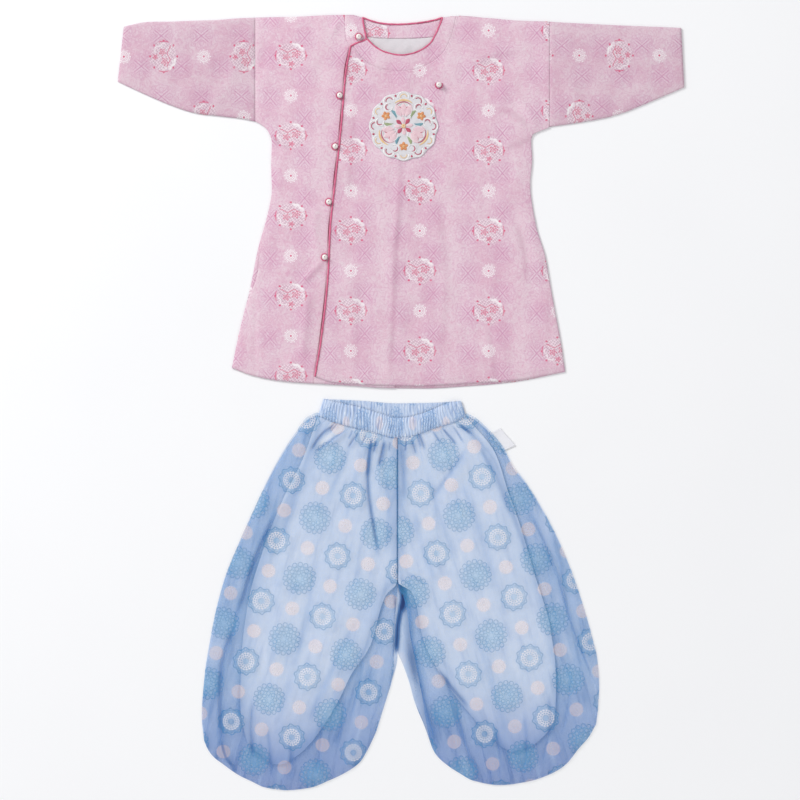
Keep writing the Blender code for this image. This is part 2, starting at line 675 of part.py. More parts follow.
def build_buttons():
    for button in BUTTONS:
        low = outer_low if button.name == "chest" else under_low
        ring = np.radians(np.arange(0, 360, 45))
        seat = low(button.x + PEARL_FOOT * np.cos(ring), button.down + PEARL_FOOT * np.sin(ring))
        spot = seat.max() + WALL + GAP + FILM
        centre = np.array([button.x, TOP_Y - button.down, spot + PEARL_R])
        work = bmesh.new()
        bmesh.ops.create_icosphere(work, subdivisions=2, radius=PEARL_R)
        verts = [tuple(centre + np.array(v.co)) for v in work.verts]
        faces = [[v.index for v in f.verts] for f in work.faces]
        work.free()
        make_object(f"pearl_{button.name}", verts, faces, "pearl")

        ahead = np.array([button.loop_x, -button.loop_down])
        side = np.array([-ahead[1], ahead[0]])
        turns = np.radians(np.linspace(-LOOP_HALF_ANGLE, LOOP_HALF_ANGLE, 9))
        arc = [centre[:2] + LOOP_TURN * (-math.cos(t) * ahead + math.sin(t) * side)
               for t in turns]
        heights = low(np.array([p[0] for p in arc]), TOP_Y - np.array([p[1] for p in arc]))
        z = heights.max() + WALL + GAP + FILM + LOOP_R
        tube(f"loop_{button.name}", [(p[0], p[1], z) for p in arc], LOOP_R, "piping", sides=5)


def medallion_rim(turn):
    return MEDALLION_R - SCALLOP_DEPTH * (1 - abs(math.cos(SCALLOPS * turn / 2)))


def build_medallion():
    """Applique made from the outer front's own heights, with petals in low relief."""
    sectors = SCALLOPS * SECTORS_PER_SCALLOP
    turns = np.arange(sectors) * math.tau / sectors
    shares = np.array([ring.share for ring in MEDALLION_RINGS])[:, None]
    reach = shares * np.array([medallion_rim(t) for t in turns])
    x = MEDALLION.x + reach * np.cos(turns)
    down = MEDALLION.down + reach * np.sin(turns)
    low = outer_low(x, down) + WALL + GAP + FILM
    petal = RELIEF * (0.5 + 0.5 * np.cos(SCALLOPS * turns / 2))
    high = low + WALL + np.array([ring.relief for ring in MEDALLION_RINGS])[:, None] * petal
    centre_low = outer_low(np.array([MEDALLION.x]), np.array([MEDALLION.down]))[0]
    centre_low += WALL + GAP + FILM
    verts = []
    for z, centre_z in ((low, centre_low), (high, centre_low + WALL + RELIEF)):
        verts += list(zip(x.ravel(), (TOP_Y - down).ravel(), z.ravel()))
        verts.append((MEDALLION.x, TOP_Y - MEDALLION.down, centre_z))
    count = x.size
    last = count - sectors
    faces = []
    for s in range(sectors):
        n = (s + 1) % sectors
        for layer in (0, count + 1):
            faces.append([layer + s, layer + n, layer + count])
            for a in range(layer, layer + last, sectors):
                b = a + sectors
                faces.append([a + s, b + s, b + n])
                faces.append([a + s, b + n, a + n])
        faces.append([last + s, last + n, count + 1 + last + n, count + 1 + last + s])
    make_object("medallion", verts, faces, "medallion")


def leg_outline(west):
    """Free edges of one leg's front panel, open along the band and the centre seam."""
    if west:
        return as_path(LEG_WEST + FOOT_WEST[1:-1] + INSEAM_WEST[::-1])
    return as_path(LEG_EAST + FOOT_EAST[::-1][1:-1] + INSEAM_EAST[::-1])


def leg_low(x, down, west):
    away, _ = distance(x, down, leg_outline(west))
    puff = 1 - np.exp(-away / LEG_ROLL)
    rows = WEST_FOLDS if west else EAST_FOLDS
    seam = SEAM_DIP * np.exp(-((x - CENTRE_SEAM) / SEAM_DIP_WIDTH) ** 2) * (down < FRONT_CROTCH)
    height = LAYER + (LEG_PUFF + folds(x, down, rows) - seam) * puff
    over_lining = LINING_Z + WALL + GAP + LINING_CLEAR - LAYER
    floor = LAYER + over_lining * np.clip((away - LINING_EDGE) / LINING_RAMP, 0, 1)
    return np.maximum(height, floor)


def under_band(x):
    """Top edge of a leg's front panel, clear of the band's seam."""
    return curve(BAND_FRONT_SEAM, across=True)(x) + BAND_CLEAR


def build_leg_front(west):
    shift = -GAP / 2 if west else GAP / 2
    seam_x = CENTRE_SEAM + shift
    if west:
        inner = (Point(seam_x, 60),) + tuple(Point(p.x + shift, p.down) for p in INSEAM_WEST)
        edges = (curve(LEG_WEST), curve(inner))
        spans = ((LEG_WEST[0].down, LEG_WEST[-1].down), (62.5, INSEAM_WEST[-1].down))
        foot = curve(FOOT_WEST, across=True)
    else:
        inner = (Point(seam_x, 60), Point(seam_x, 290), Point(-4, 306)) + INSEAM_EAST
        edges = (curve(inner), curve(LEG_EAST))
        spans = ((62.5, INSEAM_EAST[-1].down), (LEG_EAST[0].down, LEG_EAST[-1].down))
        foot = curve(FOOT_EAST, across=True)
    us = np.linspace(0, 1, 2 * LEG_GATHERS + 1)
    vs = np.concatenate([[0, 0.022, 0.055], np.linspace(0.11, 0.93, 10), [0.97, 1.0]])
    x, down = panel_grid(*edges, under_band, foot, *spans, us, vs)
    gather = np.where(np.arange(len(us)) % 2 == 1, GATHER_RISE, 0.0)
    fade = np.minimum(np.exp(-(down - under_band(x)) / GATHER_FADE), 1)
    low = leg_low(x, down, west) + gather * fade
    panel(f"leg_front_{'right' if west else 'left'}", x, down, low, TROUSER_Y, "sheer_blue")


def build_leg_back(west):
    if west:
        seam_x, top_x = CENTRE_SEAM - GAP / 2, BACK_TOP_X.right
        line = [*as_path(LEG_WEST), *as_path(FOOT_WEST)[1:-1], *as_path(INSEAM_WEST)[::-1][:-3]]
    else:
        seam_x, top_x = CENTRE_SEAM + GAP / 2, BACK_TOP_X.left
        line = [*as_path(LEG_EAST), *as_path(FOOT_EAST)[::-1][1:-1],
                *as_path(BACK_INSEAM_EAST)[::-1]]
    back_top = curve(BAND_BACK_SEAM, across=True)
    line += [(seam_x, BACK_CROTCH), (seam_x, back_top(seam_x) + GAP + BAND_CLEAR)]
    line += [(x, back_top(x) + GAP + BAND_CLEAR) for x in top_x]
    plate(f"leg_back_{'right' if west else 'left'}", line, 0.0, TROUSER_Y, "sheer_blue")


def build_leg_lining(west):
    side = "right" if west else "left"
    edge = LINING_TOP_X.right if west else LINING_TOP_X.left
    line = [*as_path(LINING_WEST if west else LINING_EAST)]
    line += [(x, under_band(x) + GAP + BAND_CLEAR) for x in edge]
    plate(f"leg_lining_{side}", line, LINING_Z, TROUSER_Y, "lining")


def band_line(points, along):
    """Places along one line of the band, from its west end to its east end."""
    x = points[0].x + (points[-1].x - points[0].x) * along
    return x, curve(points, across=True)(x)


def build_band():
    """Elastic waistband: one flattened ring, gathered all round."""
    ahead = np.linspace(0, 1, 2 * BAND_GATHERS + 1)
    back = ahead[::-1][1:-1]
    top = np.hstack([band_line(BAND_FRONT_TOP, ahead), band_line(BAND_BACK_TOP, back)])
    seam = np.hstack([band_line(BAND_FRONT_SEAM, ahead), band_line(BAND_BACK_SEAM, back)])
    along = np.concatenate([ahead, back])
    order = np.arange(len(along))
    front = order < len(ahead)
    end_gap = np.minimum(along, 1 - along)
    ends = end_gap == 0
    bulge = np.clip(1 - np.abs(2 * along - 1) ** BAND_EDGE_POWER, 0, 1) ** 0.5
    wave = BAND_WAVE * np.where(order % 2 == 1, 1, -1) * bulge
    inward = np.sign(0.5 - along) * np.clip(1 - end_gap / BAND_END_SHARE, 0, 1) * BAND_WALL
    back_z = np.minimum(BAND_WALL + 0.5 * (wave + BAND_WAVE) - GAP, BAND_WALL)
    outer, inner = [], []
    for row in BAND_ROWS:
        x, down = top * (1 - row) + seam * row
        swell = BAND_SWELL * math.sin(math.pi * row)
        high = 1.5 * BAND_WALL + (BAND_RISE + swell - BAND_WALL + wave) * bulge
        roof = np.maximum(high - BAND_WALL, BAND_WALL + HOLLOW_EDGE_LOW)
        high[ends] = BAND_WALL + HOLLOW_EDGE_LOW
        roof[ends] = BAND_WALL
        outer.append(list(zip(x, down, np.where(front, high, 0.0))))
        inner.append(list(zip(x + inward, down, np.where(front, roof, back_z))))
    loft_tube("waistband", outer, inner, TROUSER_Y, "sheer_blue")


def centre_all():
    """Put the middle of all that is built on the origin, with its underside at zero."""
    points = np.array([v.co for o in bpy.data.objects for v in o.data.vertices])
    low, high = points.min(0), points.max(0)
    move = np.array([-(low[0] + high[0]) / 2, -(low[1] + high[1]) / 2, -low[2]])
    for obj in bpy.data.objects:
        for vert in obj.data.vertices:
            vert.co = np.array(vert.co) + move


def main():
    clear_scene()
    build_top_body()
    build_sleeve("sleeve_right", RIGHT_SLEEVE, -1)
    build_sleeve("sleeve_left", LEFT_SLEEVE, 1)
    build_collar()
    build_piping()
    build_buttons()
    build_medallion()
    build_band()
    for west in (True, False):
        build_leg_front(west)
        build_leg_back(west)
        build_leg_lining(west)
    plate("tag", as_path(TAG), 0.0, TROUSER_Y, "tag")
    centre_all()


main()
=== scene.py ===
"""Looks of a child's hanfu set laid flat: a round-collar top above lined lantern trousers.

Shapes are worked out in millimetres, as in the frame's own source: x grows to the wearer's
left, "down" runs from a garment's top edge to its hem, and z is the height over the floor.
Each cloth piece is a fine wall or shell on the form of the solid that it stands for.
"""

import math
from collections import namedtuple
from functools import partialmethod

import bmesh
import bpy
import numpy as np
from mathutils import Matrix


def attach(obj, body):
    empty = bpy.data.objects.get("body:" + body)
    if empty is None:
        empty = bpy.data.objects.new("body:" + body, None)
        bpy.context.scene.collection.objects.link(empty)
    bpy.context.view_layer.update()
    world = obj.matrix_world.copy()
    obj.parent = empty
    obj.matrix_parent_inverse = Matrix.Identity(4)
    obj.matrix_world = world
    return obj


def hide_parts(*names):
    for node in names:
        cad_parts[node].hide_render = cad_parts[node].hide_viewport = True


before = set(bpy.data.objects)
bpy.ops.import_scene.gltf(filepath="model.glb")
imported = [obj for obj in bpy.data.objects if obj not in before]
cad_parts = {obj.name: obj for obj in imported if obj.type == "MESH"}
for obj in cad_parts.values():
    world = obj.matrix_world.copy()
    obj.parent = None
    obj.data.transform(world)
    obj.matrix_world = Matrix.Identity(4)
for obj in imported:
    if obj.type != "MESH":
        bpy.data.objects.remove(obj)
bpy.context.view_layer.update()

Point = namedtuple("Point", "x down")


def points(*flat):
    """Points, from their x and down in turn."""
    return tuple(map(Point, flat[::2], flat[1::2]))


def fold_rows(*flat):
    """Folds, each as three places along its line, its width and its rise."""
    return [flat[i:i + 8] for i in range(0, len(flat), 8)]


METRE = 0.001

# Cloth and stacking: walls stand for the real cloth, with a gap between one and the next
WALL = 1.0
THIN_WALL = 0.8 * WALL
GAP = 0.3
LAYER = WALL + GAP
FILM = 0.45

# Where the two garments lie, as the y of each garment's top edge
TOP_Y = 620.0
TROUSER_Y = 5.6

# How the flat cloth rises from its rounded edges
TOP_PUFF = 2.2
TOP_ROLL = 9.0
LEG_PUFF = 5.0
LEG_ROLL = 8.0

# Body of the top, from the ends of the sleeve seams to the hem
BODY_WEST = points(
    -232.8, 4.6, -232.8, 170.5, -224, 175.5, -215, 183, -209.5, 192.5, -206.4, 205, -207.5, 240,
    -206.4, 280, -213, 318, -229, 376, -238.4, 424, -259, 510, -270.4, 565)
BODY_EAST = points(
    237.6, 11, 237.6, 179, 227, 184, 211, 191, 208, 202, 209.5, 232, 206.5, 270, 216, 338,
    230.5, 386, 240, 440, 257.5, 536, 262.4, 571)
SHOULDER_WEST = points(-232.8, 4.6, -162, 3, -112, 0.5, -78, 0, -62, 4.5)
SHOULDER_EAST = points(67, 4.5, 94, 1.5, 142, 5.5, 190, 9.5, 237.6, 11)
BACK_NECK = points(-62, 4.5, -47, 10, -30, 14, -5, 15.5, 25, 13.5, 50, 9.5, 67, 4.5)
HEM = points(
    -270.4, 565, -235, 577.5, -189, 586, -82, 593, -21, 597, 37, 597.5, 104, 594, 181, 587,
    262.4, 571)
OUTER_HEM = points(-137, 579, -109, 588, -29, 592.5, 24, 593.5, 104, 590, 181, 585, 262.4, 571)

# Closing edge, collar and neckline of the outer front
PLACKET = points(
    -79.5, 51, -87, 90, -95, 180, -105, 272, -112, 337, -116, 418, -127, 520, -137, 579)
COLLAR_SEAM = points(
    -76.5, 49.5, -69, 60, -60.5, 70, -46, 80, -26, 87.5, 0, 90, 24, 87.5, 45.6, 78, 66, 62, 78, 41,
    84, 22, 88, 2.5)
FRONT_NECK = points(
    -54, 40, -42, 51.5, -26, 60.5, 0, 65.5, 25, 60.5, 45.6, 47.5, 56, 31, 63, 15, 67, 4.5)
PIPE_CORNER = points(-56, 41, -66, 45, -75, 48.6, -79, 51)
SHOULDER_NECK = points(-62, 4.5, -60, 17, -56, 37)

# How fast a panel's columns turn from its sides' curves to its straight middle
SIDE_HUG = 4

# Hidden edge of the under front, which shows as a soft line down the outer one
UNDER_NECK = points(-90, 1, -89.5, 22, -87.5, 42, -77, 51, -61, 72, -46.5, 82, -26, 90)
UNDER_EDGE = points(2, 97, 8, 170, 2, 300, -9, 370, -10, 500, -10, 597)
UNDER_MARGIN = 20.0
UNDER_FALL = 7.0

# Slit in the right side, where the under front stands back from the back panel
SLIT_TOP = 345.0
SLIT_END = 474.0
SLIT_INSET = 7.0

# Sleeves, as their top and under edges from the seam to the cuff
RIGHT_SLEEVE_TOP = points(-232.8, 4.6, -260, 5.6, -290, 8, -330, 9.5, -370, 11, -410, 12, -443, 19)
RIGHT_SLEEVE_UNDER = points(
    -232.8, 170.5, -260, 165.5, -290, 162, -330, 157, -370, 144, -412, 126, -452.8, 107)
LEFT_SLEEVE_TOP = points(237.6, 11, 270, 13, 310, 15, 350, 17, 400, 19, 448, 21)
LEFT_SLEEVE_UNDER = points(237.6, 179, 270, 174.5, 310, 168, 350, 158.5, 400, 138.5, 452.8, 116)

# Each sleeve is a flattened tube: its folded edges, as shares of its two layers, and the
# hollow between its walls
FOLD_HIGH = 0.62
FOLD_LOW = 0.3
HOLLOW = 0.5
HOLLOW_EDGE_HIGH = 0.35
HOLLOW_EDGE_LOW = 0.1

# Folds of the two fronts
UNDER_FOLDS = fold_rows(
    -97, 6, -103, 16, -110, 30, 5, 1.4, -206, 196, -198, 204, -190, 210, 6, -1,
    -122, 394, -138, 410, -156, 430, 6, 1.6, -134, 300, -138, 345, -130, 384, 7, 1.2,
    -146, 440, -150, 500, -156, 556, 10, 1.4)
OUTER_FOLDS = fold_rows(
    2, 250, -4, 320, -12, 372, 5, 1.2, -10, 380, -12, 440, -4, 520, 10, 1,
    222, 190, 200, 150, 180, 120, 7, 1.2, 210, 300, 216, 360, 226, 420, 9, 1.2,
    120, 470, 150, 520, 160, 575, 14, 1.2)

# Pearl buttons: where each lies, and the way its loop opens
Button = namedtuple("Button", "name x down loop_x loop_down")
BUTTONS = (
    Button("1", -67.5, 36.0, 0.35, 0.94),
    Button("2", -97.8, 129.6, 1.0, 0.0),
    Button("3", -105.0, 211.0, 1.0, 0.0),
    Button("4", -115.2, 299.7, 1.0, 0.0),
    Button("5", -121.8, 388.0, 1.0, 0.0),
    Button("chest", 60.5, 112.8, 0.0, -1.0),
)
PEARL_R = 4.5
PEARL_FOOT = 2.5
PEARL_SEAT = 0.2
LOOP_R = 0.9
LOOP_SEAT = 0.1
LOOP_TURN = 5.6
LOOP_HALF_ANGLE = 122
PIPE_R = 1.2

# How far the closing edge stands open between two buttons
EDGE_LIFT = 2.6
EDGE_LIFT_REACH = 16.0

# Scalloped medallion on the chest
MEDALLION = Point(4.2, 178.6)
MEDALLION_R = 55.5
SCALLOPS = 12
SCALLOP_DEPTH = 2.6

# Trousers: elastic band, as its top line and the seam under it
BAND_FRONT_TOP = points(
    -124, 0, -102, 5, -62, 14, -24, 26, -6, 30, 11, 29, 28, 25, 54, 15, 76, 6, 96, 3)
BAND_FRONT_SEAM = points(
    -133, 27, -102, 39, -76, 46, -42, 54, -10, 62, 11, 61.5, 37, 53, 62, 44.5, 89, 36, 104, 28)
BAND_BACK_TOP = points(-124, 0, -62, 3, -7, 7, 56, 6, 96, 3)
BAND_BACK_SEAM = points(-133, 27, -98, 34, -7, 40, 70, 35, 104, 28)
BAND_GATHERS = 48
BAND_WALL = 1.6
BAND_WAVE = 0.8
BAND_RISE = 6.2
BAND_SWELL = 0.5
BAND_EDGE_POWER = 14
BAND_END_SHARE = 1 / 60

# Legs: outer edge, inner edge under the crotch, and the rounded foot
CENTRE_SEAM = -5.6
FRONT_CROTCH = 309.0
BACK_CROTCH = 411.0
LEG_WEST = points(
    -136, 28.5, -149, 34.5, -168, 59, -186, 85, -214, 136, -238, 187, -261, 238, -282, 290,
    -296, 341, -306, 392, -314, 443, -318.5, 508, -315, 545.5)
LEG_EAST = points(
    107, 29.5, 115, 33.5, 131, 46, 165, 85, 178, 110, 198, 136, 230, 187, 256, 238, 277, 290,
    294, 341, 305, 380, 314, 418, 317, 456, 315, 495, 312, 520)
INSEAM_WEST = points(-6, 309, -9, 345, -11.5, 385, -11.5, 425, -16, 456, -24, 482, -40, 533)
INSEAM_EAST = points(1.6, 312, 16, 386, 32, 466, 41.6, 522, 45, 540)
BACK_INSEAM_EAST = points(-3, 411, 5, 430, 14, 456, 21, 482, 32, 507, 45, 542)
FOOT_WEST = points(
    -315, 545.5, -310, 558, -301, 571, -283, 585, -262, 600, -240, 611, -216, 621.5, -182, 625.6,
    -147, 622, -115, 610, -88, 597, -66, 581, -53, 560, -40, 533)
FOOT_EAST = points(
    45, 542, 50, 558, 58, 571, 72, 584, 93, 598, 115, 610, 158, 617.5, 200, 612.5, 245, 597,
    264, 584, 285, 558, 300, 541, 312, 520)
GATHER_FADE = 24.0
SEAM_DIP = 1.6
SEAM_DIP_WIDTH = 4.0

# White lining that shows through the thin cloth of each leg, and how the cloth clears it
LINING_Z = 2 * LAYER
LINING_CLEAR = 0.15
LINING_EDGE = 2.0
LINING_RAMP = 8.0
LINING_WEST = points(
    -132, 44, -160, 118, -187.5, 171, -219, 248, -243.5, 329, -255, 418, -257, 486, -246, 549,
    -205, 584, -187, 584, -159, 564, -131, 531, -98, 475, -80, 437, -50, 390, -24, 305, -7, 285)
LINING_EAST = points(
    103, 44, 150, 100, 171, 160, 190, 212, 212, 284, 239, 374, 248, 454, 246, 508, 214, 552,
    178, 565, 160, 556, 124, 518, 93, 480, 61, 433, 36, 380, 17, 300, -4.4, 285)

# Folds of the legs, the wearer's right one first
WEST_FOLDS = fold_rows(
    -48, 66, -53, 140, -34, 245, 4.5, -2, -37, 66, -35, 115, -30, 165, 6, 1.8,
    -64, 64, -68, 120, -62, 200, 9, 2, -104, 44, -118, 56, -132, 66, 4, -1.4,
    -86, 50, -100, 62, -116, 70, 5, 1.8, -188, 200, -210, 330, -222, 500, 8, -1.8,
    -172, 190, -192, 330, -206, 500, 10, 2.2, -38, 262, -112, 375, -160, 485, 13, 3.2,
    -26, 322, -84, 412, -142, 500, 9, 2.2, -113, 200, -150, 330, -168, 440, 8, -1.4,
    -164, 430, -186, 515, -211, 560, 7, 2, -222, 226, -262, 352, -286, 405, 6, -1.8,
    -286, 405, -288, 470, -287, 530, 5, -1.8, -280, 420, -278, 480, -276, 530, 6, 1.5)
EAST_FOLDS = fold_rows(
    106, 78, 78, 118, 50, 158, 4.5, -2, 114, 84, 88, 128, 62, 168, 8, 2.8,
    28, 66, 34, 84, 46, 96, 5, 1.6, 7, 66, 9, 110, 8, 180, 7, 1.8,
    9, 278, 24, 286, 43, 297, 5, -1.8, 12, 268, 34, 276, 62, 286, 7, 1.8,
    61, 300, 105, 380, 147, 448, 11, 3, 147, 448, 160, 475, 176, 505, 8, 2.2,
    34, 335, 62, 368, 98, 396, 8, 2, 57, 430, 82, 462, 108, 492, 4, -1.8,
    136, 405, 156, 430, 172, 452, 6, 1.6, 181, 118, 194, 160, 206, 182, 6, -2.2,
    206, 182, 243, 248, 282, 350, 6, -2, 152, 240, 166, 275, 176, 320, 6, -1.6,
    166, 508, 178, 526, 186, 540, 5, 1.8, 196, 520, 208, 540, 216, 552, 5, 1.6)

# Blank label at the waistband's left end
TAG = points(140.7, 56.1, 159.5, 46.9, 183, 74.2, 164.4, 83.2)

# Forms that only the fine shells have: what shows inside the neck
BACK_TOP_LINE = SHOULDER_WEST + BACK_NECK[1:-1] + SHOULDER_EAST
FACING_WEST = points(-60, 8, -60, 24, -57, 36)
FACING_EAST = points(64, 8, 61, 24, 56, 36)
FACING_FOOT = points(-60, 35, -30, 37.5, -5, 38, 20, 37.5, 60, 35)
LINING_SIDE_WEST = points(-57, 36, -60, 48, -64, 70, -58, 118)
LINING_SIDE_EAST = points(56, 36, 62, 48, 66, 70, 60, 118)

# Collar, seams and piping of the top
COLLAR_LIFT = 0.5
SEAM_SINK = 0.45
SEAM_WIDTH = 3.0
PIPE_SWELL = 0.1
PIPE_NECK_SHIFT = 0.4
PIPE_CLOSING_SHIFT = -0.6
# Painted shadow under the closing edge where it stands open: how far west of the edge it lies
PIPE_SHADOW = 3.2
LAP = 0.8
LAP_SINK = 0.4
SLEEVE_SINK = 0.25
# Offset of the mark that places the painted shadow beside the closing edge, so pieces without it
# stay clear
GAP_SHADOW_PLACE = 10.0
FLOOR_CLEAR = 0.03
NECK_END = SHOULDER_NECK + FRONT_NECK[:1]
SHOULDER_INNER = SHOULDER_NECK + (Point(-54.5, 43),)
SHOULDER_OUTER = points(-90.7, 1, -90.2, 22, -88.2, 40, -80, 52)

# Gathers of the legs below the band and over the feet, and how far each reaches
PLEATS = 15
FINE_PLEATS = 37
PLEAT_RISE = 0.9
PLEAT_DEPTH = 1.5
FOOT_PLEATS = 21
FINE_FADE = 9.0
FOOT_FADE = 24.0

# Where a leg grows darker towards its foot, how strong the painted shade over the lining's edges
# is, and how the lining below fades and settles
FOOT_TONE_START = 430.0
FOOT_TONE_REACH = 190.0
LINING_FADE = 95.0
LINING_EDGE_SHADE = 0.36
LINING_LOW = 0.75
LINING_SETTLE = 10.0
LEG_TUCK = 5.0

SLEEVE_FOLDS = fold_rows(
    -305, 152, -276, 112, -258, 60, 10, 0.8, 300, 158, 272, 122, 252, 70, 10, 0.9,
    -425, 62, -366, 82, -312, 88, 14, 0.6, 424, 66, 362, 86, 300, 92, 14, 0.6)

# Where the cloth is painted darker: on the legs where the thin cloth lies doubled, with painted
# shade in its folds, pleats and between the legs; on the top, painted shade in its creases. rise is
# how much it darkens
DARK_WEST = fold_rows(
    -48, 64, -53, 140, -36, 250, 3.2, 0.8, -198, 174, -235, 260, -262, 350, 4.5, 0.9,
    -262, 350, -288, 432, -287, 559, 5, 0.8, -287, 545, -280, 572, -266, 590, 3, 0.9,
    -92, 46, -116, 61, -134, 78, 3.6, -0.35, -46, 60, -50.5, 88, -53.5, 122, 2.4, 1,
    -25, 64, -28, 86, -31, 108, 2.4, 0.5, -12, 300, -8, 350, -12, 420, 3, 0.7,
    -6, 70, -5, 180, -5, 300, 2.2, 0.25)
DARK_EAST = fold_rows(
    106, 78, 78, 118, 50, 158, 3.6, 0.4, 244, 262, 272, 359, 310, 456, 2.2, 0.7,
    206, 182, 230, 232, 246, 280, 3, 0.6, 9, 278, 24, 286, 43, 297, 2.6, 0.3,
    14, 322, 18, 400, 56, 555, 2.2, 0.65, 57, 430, 82, 462, 108, 492, 3.2, 0.5,
    4, 308, 3, 326, -1, 346, 4, 0.9)
# Painted shade in the creases of the top's two fronts
UNDER_CREASE_SHADE = fold_rows(
    -122, 394, -138, 410, -156, 430, 4, 0.7, -146, 440, -150, 500, -156, 556, 5, 0.5,
    -206, 196, -194, 206, -176, 212, 4, 0.6, -120, 480, -128, 530, -140, 580, 3, 0.6)
OUTER_CREASE_SHADE = fold_rows(
    2, 200, -8, 380, -17, 585, 4.5, 0.6, 182, 330, 196, 380, 200, 430, 5, 0.5,
    211, 196, 190, 206, 166, 214, 5, 0.5, -70, 120, -78, 200, -84, 300, 4, 0.3,
    138, 500, 146, 545, 150, 588, 5, 0.4, 60, 300, 72, 420, 66, 560, 7, 0.25,
    -66, 420, -72, 500, -70, 584, 6, 0.3, 110, 90, 140, 70, 190, 60, 6, 0.35,
    150, 150, 180, 160, 206, 182, 5, 0.4)
PLEATS_WEST = fold_rows(
    -106, 40, -128, 58, -144, 83, 2.3, 0.9, -100, 39, -107, 46, -114, 54, 1.8, 0.6,
    -86.2, 48, -112.4, 66, -138.5, 86, 2, 0.8, -77, 49, -80, 56, -84, 64, 1.5, 0.8,
    -66.2, 52, -77, 66, -85, 78, 1.8, 0.8, -55.4, 56, -59, 65, -64, 75, 1.6, 0.7,
    -38.5, 66, -41, 74, -44, 86, 1.8, 0.9, -26.2, 67, -31, 86, -36, 110, 2.2, 0.9,
    -17, 68, -18, 75, -19, 84, 1.6, 0.6, -70, 55, -96, 110, -122, 170, 4, 0.25,
    -60, 70, -74, 130, -90, 200, 4.5, 0.22, -24, 112, -20, 180, -22, 240, 4.5, 0.22,
    -150, 110, -176, 170, -196, 240, 5, 0.25, -130, 250, -160, 380, -196, 520, 5.5, 0.2,
    -60, 330, -110, 430, -150, 520, 5, 0.25, -236, 480, -240, 530, -234, 590, 3.2, 0.5,
    -180, 540, -176, 570, -178, 606, 3, 0.4, -128, 520, -130, 560, -136, 600, 3.2, 0.45,
    -90, 470, -92, 500, -104, 556, 3, 0.4, -214, 520, -210, 560, -206, 604, 2.6, 0.4,
    -60, 400, -66, 450, -84, 520, 3, 0.35)
PLEATS_EAST = fold_rows(
    3, 66, 4, 110, 4, 165, 4.5, 0.5, 9.2, 65, 8, 73, 7, 84, 1.6, 0.8,
    16.9, 65, 20, 74, 24, 88, 1.7, 0.8, 27.6, 59, 29, 66, 32, 77, 1.6, 0.8,
    26, 50, 32, 64, 38, 80, 2, 0.6, 50.7, 51, 55, 58, 62, 68, 1.6, 0.7,
    66.1, 46, 76, 58, 88, 72, 2, 0.8, 90.7, 39, 100, 46, 112, 56, 2.2, 0.8,
    82, 42, 90, 54, 100, 70, 1.6, 0.6, 40, 110, 60, 180, 84, 260, 4.5, 0.22,
    120, 70, 150, 120, 176, 190, 3.6, 0.35, 96, 130, 128, 220, 156, 320, 5, 0.22,
    20, 180, 34, 240, 60, 300, 4.5, 0.22, 110, 360, 140, 440, 170, 540, 5.5, 0.22,
    84, 480, 100, 540, 118, 592, 3.2, 0.45, 150, 520, 156, 560, 158, 604, 3, 0.4,
    196, 500, 200, 550, 196, 598, 3, 0.45, 236, 470, 238, 520, 226, 580, 3, 0.4,
    270, 430, 268, 480, 256, 540, 3, 0.4, 70, 430, 82, 490, 98, 560, 2.8, 0.4)
BACK_DARK = fold_rows(
    -2, 288, 4, 316, 0, 342, 5, 2.4, 0, 332, -5, 362, -8, 408, 3.6, 2,
    10, 320, 12, 380, 24, 460, 8, 0.5, 6, 380, 26, 450, 48, 560, 11, 0.42)

# Sewing: how long a stitch is, the gap to the next one, and the thread's radius
COTTON_STITCH = (2.4, 1.2, 0.28)
BAND_STITCH = (2.2, 1.0, 0.3)
LABEL_STITCH = (1.8, 1.0, 0.25)

# How finely the shells are divided, and how much the cloth wanders between its folds
FINE_COLUMNS = 150
FINE_ROWS = 170
LEG_COLUMNS = 230
LEG_ROWS = 190
RIPPLE = 0.55
LEG_RIPPLE = 1.0


def curve(line, across=False):
    """Smooth function through the points that never overshoots: x of down, or down of x."""
    keys, vals = np.array(line, float).T[::1 if across else -1]
    step = np.diff(keys)
    slope = np.diff(vals) / step
    tangent = np.zeros(len(keys))
    tangent[0], tangent[-1] = slope[0], slope[-1]
    for i in range(1, len(keys) - 1):
        if slope[i - 1] * slope[i] > 0:
            w0 = 2 * step[i] + step[i - 1]
            w1 = step[i] + 2 * step[i - 1]
            tangent[i] = (w0 + w1) / (w0 / slope[i - 1] + w1 / slope[i])

    def value(at):
        at = np.clip(at, keys[0], keys[-1])
        i = np.clip(np.searchsorted(keys, at) - 1, 0, len(step) - 1)
        return hermite((at - keys[i]) / step[i], vals[i], vals[i + 1],
                       step[i] * tangent[i], step[i] * tangent[i + 1])
    return value


def hermite(t, start, end, leave, arrive):
    """Cubic from start to end, as steep as told at both."""
    rest = 1 - t
    return ((1 + 2 * t) * rest ** 2 * start + t * rest ** 2 * leave
            + t ** 2 * (3 - 2 * t) * end - t ** 2 * rest * arrive)


def trace(line, across=False, count=60):
    """Polyline along the same smooth curve."""
    at = np.linspace(*(p.x if across else p.down for p in (line[0], line[-1])), count)
    other = curve(line, across)(at)
    return np.column_stack([at, other] if across else [other, at])


def run_of(path):
    """Distance along a polyline at each of its points."""
    return np.concatenate([[0], np.cumsum(np.linalg.norm(np.diff(path, axis=0), axis=1))])


def smooth_path(line, count):
    """Points evenly spaced along a smooth line through the given ones."""
    pts = np.array(line, float)
    tangent = np.gradient(pts, axis=0)
    fine = [hermite(t, pts[i], pts[i + 1], tangent[i], tangent[i + 1])
            for i in range(len(pts) - 1) for t in np.linspace(0, 1, 9)[:-1]]
    fine = np.array(fine + [pts[-1]])
    run = run_of(fine)
    at = np.linspace(0, run[-1], count)
    return np.column_stack([np.interp(at, run, side) for side in fine.T])


